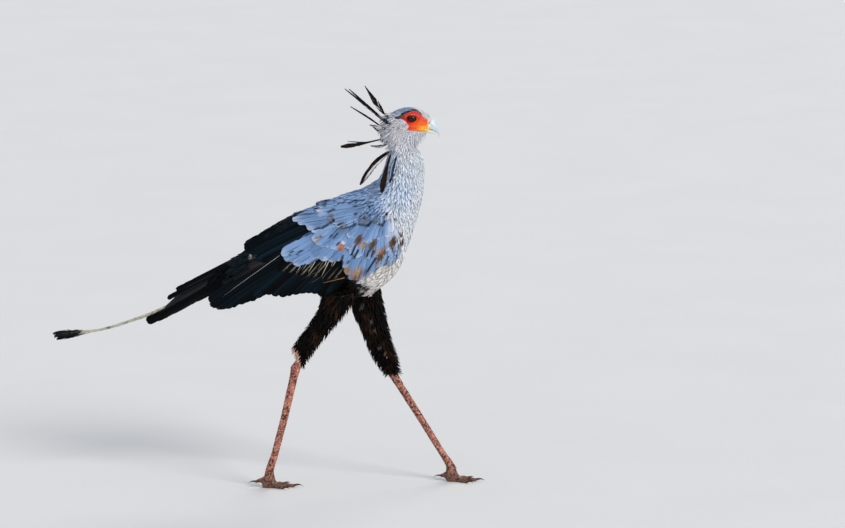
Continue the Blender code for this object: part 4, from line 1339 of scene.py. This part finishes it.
def feather_row(batch, form, row, side, cells, cell):
    """One row of large feathers draped on a form, each with its own cell on the unwrap."""
    roots, tips, count, half, root_height, tip_height, fall, bow, way = row
    shares = np.linspace(0, 1, count)
    root, tip = curve(roots, shares) * MM, curve(tips, shares) * MM
    root += rng.normal(0, UNEVEN_ROOTS, root.shape)
    tip += rng.normal(0, UNEVEN_COVERTS if way.startswith("covert") else UNEVEN_TIPS, tip.shape)
    along = 1 - (1 - np.linspace(0, 1, FEATHER_STEPS)) ** 1.7
    run = tip - root
    length = np.linalg.norm(run, axis=1)
    square = np.stack([-run[:, 1], run[:, 0]], -1) / length[:, None]
    bows = bow * MM * rng.uniform(0.6, 1.4, count)
    spine = (root[:, None] + run[:, None] * along[None, :, None]
             + square[:, None] * (bows[:, None] * 4 * along * (1 - along))[..., None])
    ahead = unit(np.gradient(spine, axis=1))
    beside = np.stack([-ahead[..., 1], ahead[..., 0]], -1)
    halves = half * MM * rng.uniform(0.85, 1.15, count)
    rounding = np.clip(halves / length * rng.uniform(1.0, 1.5, count), 0.03, 0.5)[:, None]
    end = np.sqrt(np.clip(1 - (np.clip(along[None] - 1 + rounding, 0, None) / rounding) ** 2, 0.0004, 1))
    width = halves[:, None] * (0.5 + 0.5 * ease(along, 0.0, 0.3))[None] * end
    across, under = np.array(LARGE_RING, float).T
    frays = 1 - FRAY_DEPTH * (rng.random((*width.shape, 1)) < FRAY_SHARE) * (np.abs(across) == 1)
    flat = spine[:, :, None] + beside[:, :, None] * (width[:, :, None] * frays * across)[..., None]
    camber = np.minimum(width * 0.17, 2.4 * MM)
    order = (count - 1 - np.arange(count)) * fall * MM * 0.25
    height = (root_height + (tip_height - root_height) * ease(along, 0.0, 0.75)) * MM
    lap = LAP * (width / halves[:, None])
    rise = (height[None, :, None] + order[:, None, None] + camber[..., None] * (1 - across ** 2)
            + lap[..., None] * across * np.sign(fall) - VANE_THICKNESS * under)
    far = np.maximum(form.distance(flat[..., 0], flat[..., 1]) + rise, 0.6 * MM)
    body = np.stack([flat[..., 0], side * far, flat[..., 1]], -1)
    dyes, lots = row_paint(way, count, along, across, flat)
    index = np.arange(cell, cell + count)
    corner = (np.stack([index % cells, index // cells], -1) + CELL_EDGE) / cells
    batch.blades(body, dyes, lots, along, across, (corner, CELL_SPAN / cells))


def build_rows(title, form, rows, finish, slot, lines=()):
    """Rows of large feathers on both sides, and thin lines that lie on them."""
    cells = math.ceil(math.sqrt(sum(row[2] for row in rows)))
    for name, side in SIDES:
        batch = Feathers()
        cell = 0
        for row in rows:
            base = BLADE if row[-1] in ("black", "brown_black", "buff_edge") else form
            feather_row(batch, base, row, side, cells, cell)
            cell += row[2]
        for x0, z0, x1, z1, half, proud, paint in lines:
            flat = ((x0, z0) + (np.array((x1, z1)) - (x0, z0)) * np.linspace(0, 1, 7)[:, None]) * MM
            far = form.distance(flat[:, 0], flat[:, 1]) + proud * MM
            spine = np.stack([flat[:, 0], side * far, flat[:, 1]], -1)[None]
            taper = np.array((0.9, 1.0, 0.9, 0.75, 0.6, 0.4, 0.1))[None] * half * MM
            ups = np.broadcast_to((0.0, side, 0.0), spine.shape)
            batch.tufts(spine, ups, taper, linear(paint)[None], unwrap(spine[:, 0], BODY_LINE), 0.3, 0.4)
        batch.piece(title + "_" + name, finish, slot)


# Plumes with loose barbs

def node_spine(name, head_first, bins=14):
    """A plume's middle line and its flat direction, read from its node."""
    points, triangles = node_part(name)
    corners = points[triangles]
    areas = doubled_areas(corners)
    spots = random_spots(corners, rng.choice(len(corners), 6000, p=areas / areas.sum()))
    middle = spots.mean(0)
    axis = np.linalg.svd(spots - middle, full_matrices=False)[2][0]
    if (np.array(head_first) - middle) @ axis > 0:
        axis = -axis
    reach = (points - middle) @ axis
    down = ((spots - middle) @ axis - reach.min()) / np.ptp(reach)
    shelf = np.clip((down * bins).astype(int), 0, bins - 1)
    line = np.array([spots[shelf == k].mean(0) for k in range(bins)])
    first = points[np.abs(reach - reach.min()) < 1.5 * MM].mean(0)
    last = points[np.abs(reach - reach.max()) < 1.0 * MM].mean(0)
    line = np.concatenate([[first], line, [last]])
    shares = np.concatenate(([0], (np.arange(bins) + 0.5) / bins, [1]))
    aside = spots - np.stack([np.interp(down, shares, line[:, k]) for k in range(3)], -1)
    aside -= dot(aside, axis) * axis
    return shares, line, np.linalg.svd(aside, full_matrices=False)[2][0]


# Share of a plume's length that a lead takes up, and the shortest barb
LEAD_SHARE = 0.18
SHORTEST_BARB = 11 * MM


def plume(batch, name, head_first, clumps, angle, dye, barb_dye, fray, widths, start=0.04, lead=None,
          stem=0.8, turn=0.0):
    """A shaft with overlapping clumps of barbs down both its sides; `widths` are its half widths in mm."""
    shares, line, flat = node_spine(name, head_first)
    upright = unit(np.cross(line[-1] - line[0], (0.0, 1.0, 0.0)))
    flat = flat if flat @ upright > 0 else -flat
    flat = unit(flat * (1 - turn) + upright * turn)
    if lead is not None:
        line = np.concatenate([[lead], line])
        shares = np.concatenate([[0], LEAD_SHARE + (1 - LEAD_SHARE) * shares])
    half = np.interp(shares, np.linspace(0, 1, len(widths)), widths) * MM
    length = np.linalg.norm(np.diff(line, axis=0), axis=1).sum()

    def at(t):
        """Places on the middle line, the flat direction and the upward one there."""
        spots = np.stack([np.interp(np.clip(t, 0, 1), shares, line[:, k]) for k in range(3)], -1)
        ahead = unit(np.gradient(spots, axis=-2))
        level = unit(flat - dot(ahead, flat) * ahead)
        return spots, level, unit(np.cross(ahead, level))

    steps = np.linspace(0, 1, 20)[None]
    shaft, _, ups = at(steps)
    paint = np.broadcast_to(linear(dye), shaft.shape)
    batch.tufts(shaft, ups, (1.0 - 0.7 * steps) * MM * stem, paint, np.array([[0.5, 0.5]]), 0.6, 1.2)
    number = clumps * 2
    t = np.tile(np.linspace(start, 0.985, clumps), 2) + rng.normal(0, 0.3 / clumps, number)
    hand = np.repeat((-1.0, 1.0), clumps)
    wide = np.interp(t, shares, half) * rng.uniform(1 - fray, 1.0, number)
    reach = np.clip(wide / math.tan(math.radians(angle)) / length, SHORTEST_BARB / length, 0.25)
    reach = np.minimum(reach, np.maximum(1.0 - t, 0.012))
    u = np.linspace(0, 1, len(BARB))
    spot = t[:, None] + reach[:, None] * u[None, :]
    out = np.interp(spot, shares, half) * (wide / np.maximum(np.interp(t, shares, half), 1e-6))[:, None]
    base, level, ups = at(spot)
    curl = rng.normal(0, 0.10, number)[:, None] * out * u ** 2
    aside = hand[:, None] * out * (1 - (1 - u[None]) ** 1.5)
    spines = base + level * aside[..., None] + ups * curl[..., None]
    halves = (0.2 * wide + 0.3 * MM)[:, None] * np.array(BARB)[None] * rng.uniform(0.8, 1.1, number)[:, None]
    dyes = barb_dye(t, hand, number)
    spots = 0.05 + 0.9 * np.stack([0.5 + 0.4 * hand * rng.random(number), t], -1)
    batch.tufts(spines, ups, halves, dyes, spots, 0.2, 0.25)


# Plumes grow away from these places
HEAD_CENTRE = (0.335, 0.0, 0.90)
BODY_CENTRE = (0, 0, 0.6)

# Each crest plume: share of pale barbs near its root, paint of its inner vane, its share on the rear and on
# the front hand, half width of its stem, turn of its flat towards the side, half widths in mm from the root
CREST = {
    "high": (0.12, "black", (0, 0), 0.8, 0.6, (2.0, 4.5, 7.0, 7.0, 4.5, 2.2, 0.8)),
    "near": (0.1, "black", (0, 0), 1.3, 0.75, (1.8, 2.4, 2.8, 3.2, 2.6, 2.0, 0.8)),
    "mid": (0.1, "black", (0, 0), 1.3, 0.75, (1.8, 2.4, 2.8, 3.2, 2.6, 2.0, 0.8)),
    "far": (0.1, "black", (0, 0), 1.1, 0.75, (1.6, 2.0, 2.4, 2.6, 2.2, 1.6, 0.8)),
    "short_a": (0.6, "cheek", (0.2, 0.7), 0.8, 0.7, (1.8, 3.2, 4.4, 3.6, 2.4, 0.8)),
    "short_b": (0.4, "cheek", (0.7, 0.0), 0.8, 0.7, (1.6, 2.6, 3.8, 3.0, 2.0, 0.8)),
    "short_c": (0.2, "cheek", (0.0, 0.75), 0.9, 0.7, (1.6, 3.0, 4.4, 3.6, 2.2, 0.8)),
    "level": (0.0, "black", (0, 0), 0.9, 0.3, (1.4, 1.8, 2.4, 3.4, 5.4, 6.4, 2.4)),
    "level_far": (0.1, "black", (0, 0), 0.8, 0.0, (1.4, 1.6, 2.2, 3.0, 3.6, 3.2, 1.0)),
    "low": (0.1, "cheek", (0.0, 0.95), 0.9, 0.8, (1.8, 4.0, 6.0, 7.4, 8.0, 6.8, 1.6)),
    "low_far": (0.1, "cheek", (0.0, 0.8), 0.8, 0.8, (1.8, 3.0, 5.0, 6.5, 7.0, 5.4, 1.6)),
    "hanging": (0.0, "thigh_brown", (0.3, 0.3), 1.0, 0.2, (1.8, 2.6, 3.8, 5.4, 7.6, 8.2, 2.0)),
    "neck": (0.0, "covert_pale", (0.9, 0.1), 1.0, 0.2, (1.8, 3.4, 5.0, 6.2, 6.2, 4.4, 1.2)),
    "neck_far": (0.0, "covert_pale", (0.9, 0.1), 1.0, 0.2, (1.8, 3.4, 5.0, 6.2, 6.2, 4.4, 1.2)),
}


def build_crest(finish):
    for name, (pale, inner, hands, stem, turn, widths) in CREST.items():
        def barbs(t, hand, number):
            light = (rng.random(number) < pale) * (1 - ease(t, 0.3, 0.6)) * rng.uniform(0.5, 1, number)
            base = mixed(mixed("black", "thigh_brown", rng.random(number) * 0.4), "cheek", light)
            reach = 1 - ease(np.linspace(0, 1, len(BARB)), 0.4, 1.0)
            share = np.where(hand < 0, *hands) * rng.uniform(0.7, 1, number)
            middle = share * ease(t, 0.05, 0.2) * (1 - ease(t, 0.66, 0.86))
            return mixed(base[:, None], inner, middle[:, None] * reach[None])

        batch = Feathers()
        node = "crest_plume_" + name
        plume(batch, node, HEAD_CENTRE, clumps=84, angle=15, dye="black", barb_dye=barbs, fray=0.28,
              widths=widths, stem=stem, turn=turn)
        batch.piece("plume_" + name, finish, "crest", (node,))


# Half widths of the long tail feathers in mm, from the root to the tip
LONG_WIDTHS = (4.4, 4.2, 3.8, 3.3, 2.9, 2.5, 2.2, 1.9, 1.7, 9.0, 11.5, 9.0)


def build_long_feathers(finish):
    def barbs(t, hand, number):
        cream = linear("long_pale") * rng.uniform(0.65, 1.0, (number, 1))
        fleck = (ragged(np.stack([t, hand * 0.3, t], -1), 0.016) > 0.45) * rng.uniform(0.3, 0.9, number)
        fleck = np.maximum(fleck, (np.abs(t - 0.57) < 0.016) * 0.9)
        return layered(cream, (("thigh", fleck), ("black", ease(t, 0.762, 0.79))))

    for name, side in SIDES:
        batch = Feathers()
        node = "long_tail_feather_" + name
        plume(batch, node, BODY_CENTRE, clumps=110, angle=24, dye="long_pale", barb_dye=barbs, fray=0.25,
              widths=LONG_WIDTHS, start=0.02, lead=(-0.205, side * 0.007, 0.480))
        batch.piece(node.replace("long_", "middle_long_"), finish, "long_feathers", (node,))


# Bill, eyes and claws

def build_bill(finish):
    """Upper and lower bill, carried a little way back under the cere."""
    for part, rounds in (("upper_bill", 8), ("lower_bill", 3)):
        points, triangles = node_part(part)
        share = ease(points[:, 0].min() + 5 * MM - points[:, 0], 0, 5 * MM)
        points = points - share[:, None] * np.array((9.0, 0, -0.5)) * MM
        mesh = remeshed([(points, triangles)], 0.7 * MM, rounds)
        x, _, z = read(mesh.vertices, "co").T / MM
        cream = np.full(len(x), 0.55)
        if part == "upper_bill":
            edge = np.interp(x, (404, 411, 417, 421.5, 424.8, 427), (909, 906, 903.5, 900.5, 896.5, 888))
            rim, tip, root = 1 - ease(z - edge, 1.0, 4.5), ease(-z, -905, -892), 1 - ease(x, 404, 408)
            cream = rim * 0.85 + tip * 0.4 + root * 0.5
        keep(mesh, "dye", mixed(np.array((0.58, 0.68, 0.75)), "cere", np.clip(cream, 0, 1)))
        add_piece(part + "_horn", mesh, finish, (part,))


# Where the pupil ends and where the iris ends, in degrees from the middle of the gaze
PUPIL_EDGE = (19, 22)
IRIS_EDGE = (38, 44)


def build_eyes(finish):
    """Each eye is a ball with a bulging clear front, a pupil and an iris."""
    angle = np.linspace(0, 2 * math.pi, 64, endpoint=False)
    degrees = np.linspace(0.8, 179.2, 40)[:, None] + 0 * angle
    facing = np.radians(degrees)
    ball = np.stack([np.sin(facing) * np.cos(angle), np.sin(facing) * np.sin(angle), np.cos(facing)], -1)
    degrees = degrees.ravel()
    colour = layered(linear("black") * 0.3, (
        (linear("thigh_brown") * 0.35, ease(degrees, *PUPIL_EDGE)),
        (linear("black") * 0.5, ease(degrees, *IRIS_EDGE))))
    for name, side in SIDES:
        gaze = unit(np.array((0.16, side, 0.03)))
        aside = np.cross((0, 0, 1.0), gaze)
        points, triangles = tube(ball @ np.stack([aside, np.cross(gaze, aside), gaze]))
        swell = 1 + 0.035 * np.exp(-(degrees / 30) ** 2)
        points = points * swell[:, None] * (EYE_RADIUS - 0.3 * MM) + np.array((EYE.x, side * EYE.y, EYE.z))
        mesh = bpy.data.meshes.new("eye")
        mesh.from_pydata(points.tolist(), [], triangles.tolist())
        keep(mesh, "dye", colour)
        add_piece("eyeball_" + name, mesh, finish, ("eye_" + name,))


def build_claws(finish):
    """Four claws for each foot, each carried back into the end of its toe."""
    for name, _ in SIDES:
        nodes = ["claw_" + name + "_" + toe for toe in TOES]
        ankle = np.array(LEG_ENDS[name][1]) * MM
        parts = []
        for points, triangles in map(node_part, nodes):
            reach = np.linalg.norm((points - ankle)[:, :2], axis=1)
            base = points[reach < reach.min() + 1.5 * MM].mean(0)
            inward = unit((ankle - base) * (1, 1, 0))
            share = 1 - ease(reach - reach.min(), 1.0 * MM, 7.0 * MM)
            middle = base + (points - base) * 1.25
            parts.append((mixed(points, middle, share) + share[:, None] * inward * 6 * MM, triangles))
        add_piece("claws_" + name, remeshed(parts, 0.6 * MM, 4), finish, nodes)


def build_lashes(finish):
    """The long dark lashes along each upper lid."""
    batch = Feathers()
    count = 20
    u = np.linspace(0, 1, 5)
    for _, side in SIDES:
        angle = np.radians(np.linspace(28, 158, count) + rng.normal(0, 3, count))
        around = np.stack([OPENING[0] * 1.04 * np.cos(angle), OPENING[1] * 1.05 * np.sin(angle)], -1)
        depth = EYE.y + np.sqrt(EYE_RADIUS ** 2 - (around ** 2).sum(-1)) + 0.6 * MM
        root = np.stack([EYE.x + around[:, 0], side * depth, EYE.z + around[:, 1]], -1)
        out = unit(np.stack([around[:, 0] * 0.7, np.full(count, side * 0.012), around[:, 1] + 0.004], -1))
        length = rng.uniform(4.5, 8.0, count) * MM
        curl = np.array((-0.2, 0, 1.0)) * (length * 0.35)[:, None]
        spines = root[:, None] + out[:, None] * (length[:, None] * u)[..., None]
        spines = spines + curl[:, None] * (u ** 2)[:, None]
        ups = np.broadcast_to((0.0, side, 0.2), spines.shape)
        halves = np.array((0.3, 0.3, 0.26, 0.2, 0.06))[None] * MM * np.ones((count, 1))
        paint = np.broadcast_to(linear("black") * 0.6, (count, 3))
        batch.tufts(spines, ups, halves, paint, unwrap(root, BODY_LINE), 0.5, 0.4)
    batch.piece("lashes", finish, "plumage_black")


# Lights, floor and camera

def build_studio():
    ahead = Vector((0, math.cos(LOOK_DOWN), -math.sin(LOOK_DOWN)))
    lens = bpy.data.cameras.new("camera")
    lens.sensor_width = 36.0
    lens.lens = lens.sensor_width * CAMERA_DISTANCE / (PHOTO_WIDTH * PIXEL)
    lens.clip_end = 400.0
    camera = placed("camera", lens)
    camera.location = AIM - ahead * CAMERA_DISTANCE
    camera.rotation_euler = ahead.to_track_quat("-Z", "Y").to_euler()
    bpy.context.scene.camera = camera

    slab = bmesh.new()
    bmesh.ops.create_grid(slab, x_segments=24, y_segments=24, size=120.0)
    mesh = bpy.data.meshes.new("floor")
    slab.to_mesh(mesh)
    slab.free()
    mesh.materials.append(floor_finish())
    placed("floor", mesh)

    for name, place, power, spread, colour in (
            ("key_light", (0.75, -0.80, 0.72), 2.1, 24, (1.0, 0.965, 0.92)),
            ("fill_light", (-0.8, -0.8, 0.4), 0.35, 60, (0.86, 0.93, 1.0)),
            ("rim_light", (0.35, 0.85, 0.6), 0.9, 30, (1.0, 0.97, 0.92))):
        lamp = bpy.data.lights.new(name, "SUN")
        lamp.angle = math.radians(spread)
        lamp.energy = power
        lamp.color = colour
        holder = placed(name, lamp)
        holder.location = place
        holder.rotation_euler = (-Vector(place)).to_track_quat("-Z", "Y").to_euler()

    world = bpy.data.worlds.new("studio")
    world.use_nodes = True
    sky = world.node_tree.nodes["Background"]
    sky.inputs["Color"].default_value = (0.80, 0.88, 1.0, 1.0)
    sky.inputs["Strength"].default_value = 0.46
    bpy.context.scene.world = world
    bpy.context.scene.view_settings.view_transform = "Standard"


def main():
    build_studio()
    # Name, roughness, barbs, spread of tone, shaft, edge, streaks and gleam
    finishes = {
        "contour": feather_finish("contour_feathers", 0.72, 7, 0.14, 0.02, 0.05, 0.0, 0.15),
        "covert": feather_finish("covert_feathers", 0.62, 46, 0.2, -0.16, 0.2, 0.5, 0.2),
        "black": feather_finish("flight_feathers", 0.58, 70, 0.7, 1.2, 0.5, 0.3, 0.06),
        "thigh": feather_finish("thigh_feathers", 0.75, 10, 0.9, 0.1, 0.5, 0.0, 0.06),
        "crest": feather_finish("crest_plumes", 0.6, 3, 0.4, 0.1, 0.2, 0.0, 0.1),
        "long": feather_finish("long_tail_feathers", 0.6, 6, 0.3, 0.05, 0.1, 0.0, 0.2)}
    build_coat(*build_skin(), finishes)
    build_rows("flight_feathers", WING, WING_ROWS[:5], finishes["black"], "plumage_black", LINES)
    build_rows("covert_feathers", WING, WING_ROWS[5:], finishes["covert"], "plumage_grey")
    build_rows("tail_feathers", TAIL, TAIL_ROWS, finishes["black"], "plumage_black")
    build_crest(finishes["crest"])
    build_long_feathers(finishes["long"])
    build_bill(bill_finish())
    build_eyes(eye_finish())
    build_claws(claw_finish())
    build_lashes(finishes["crest"])


main()
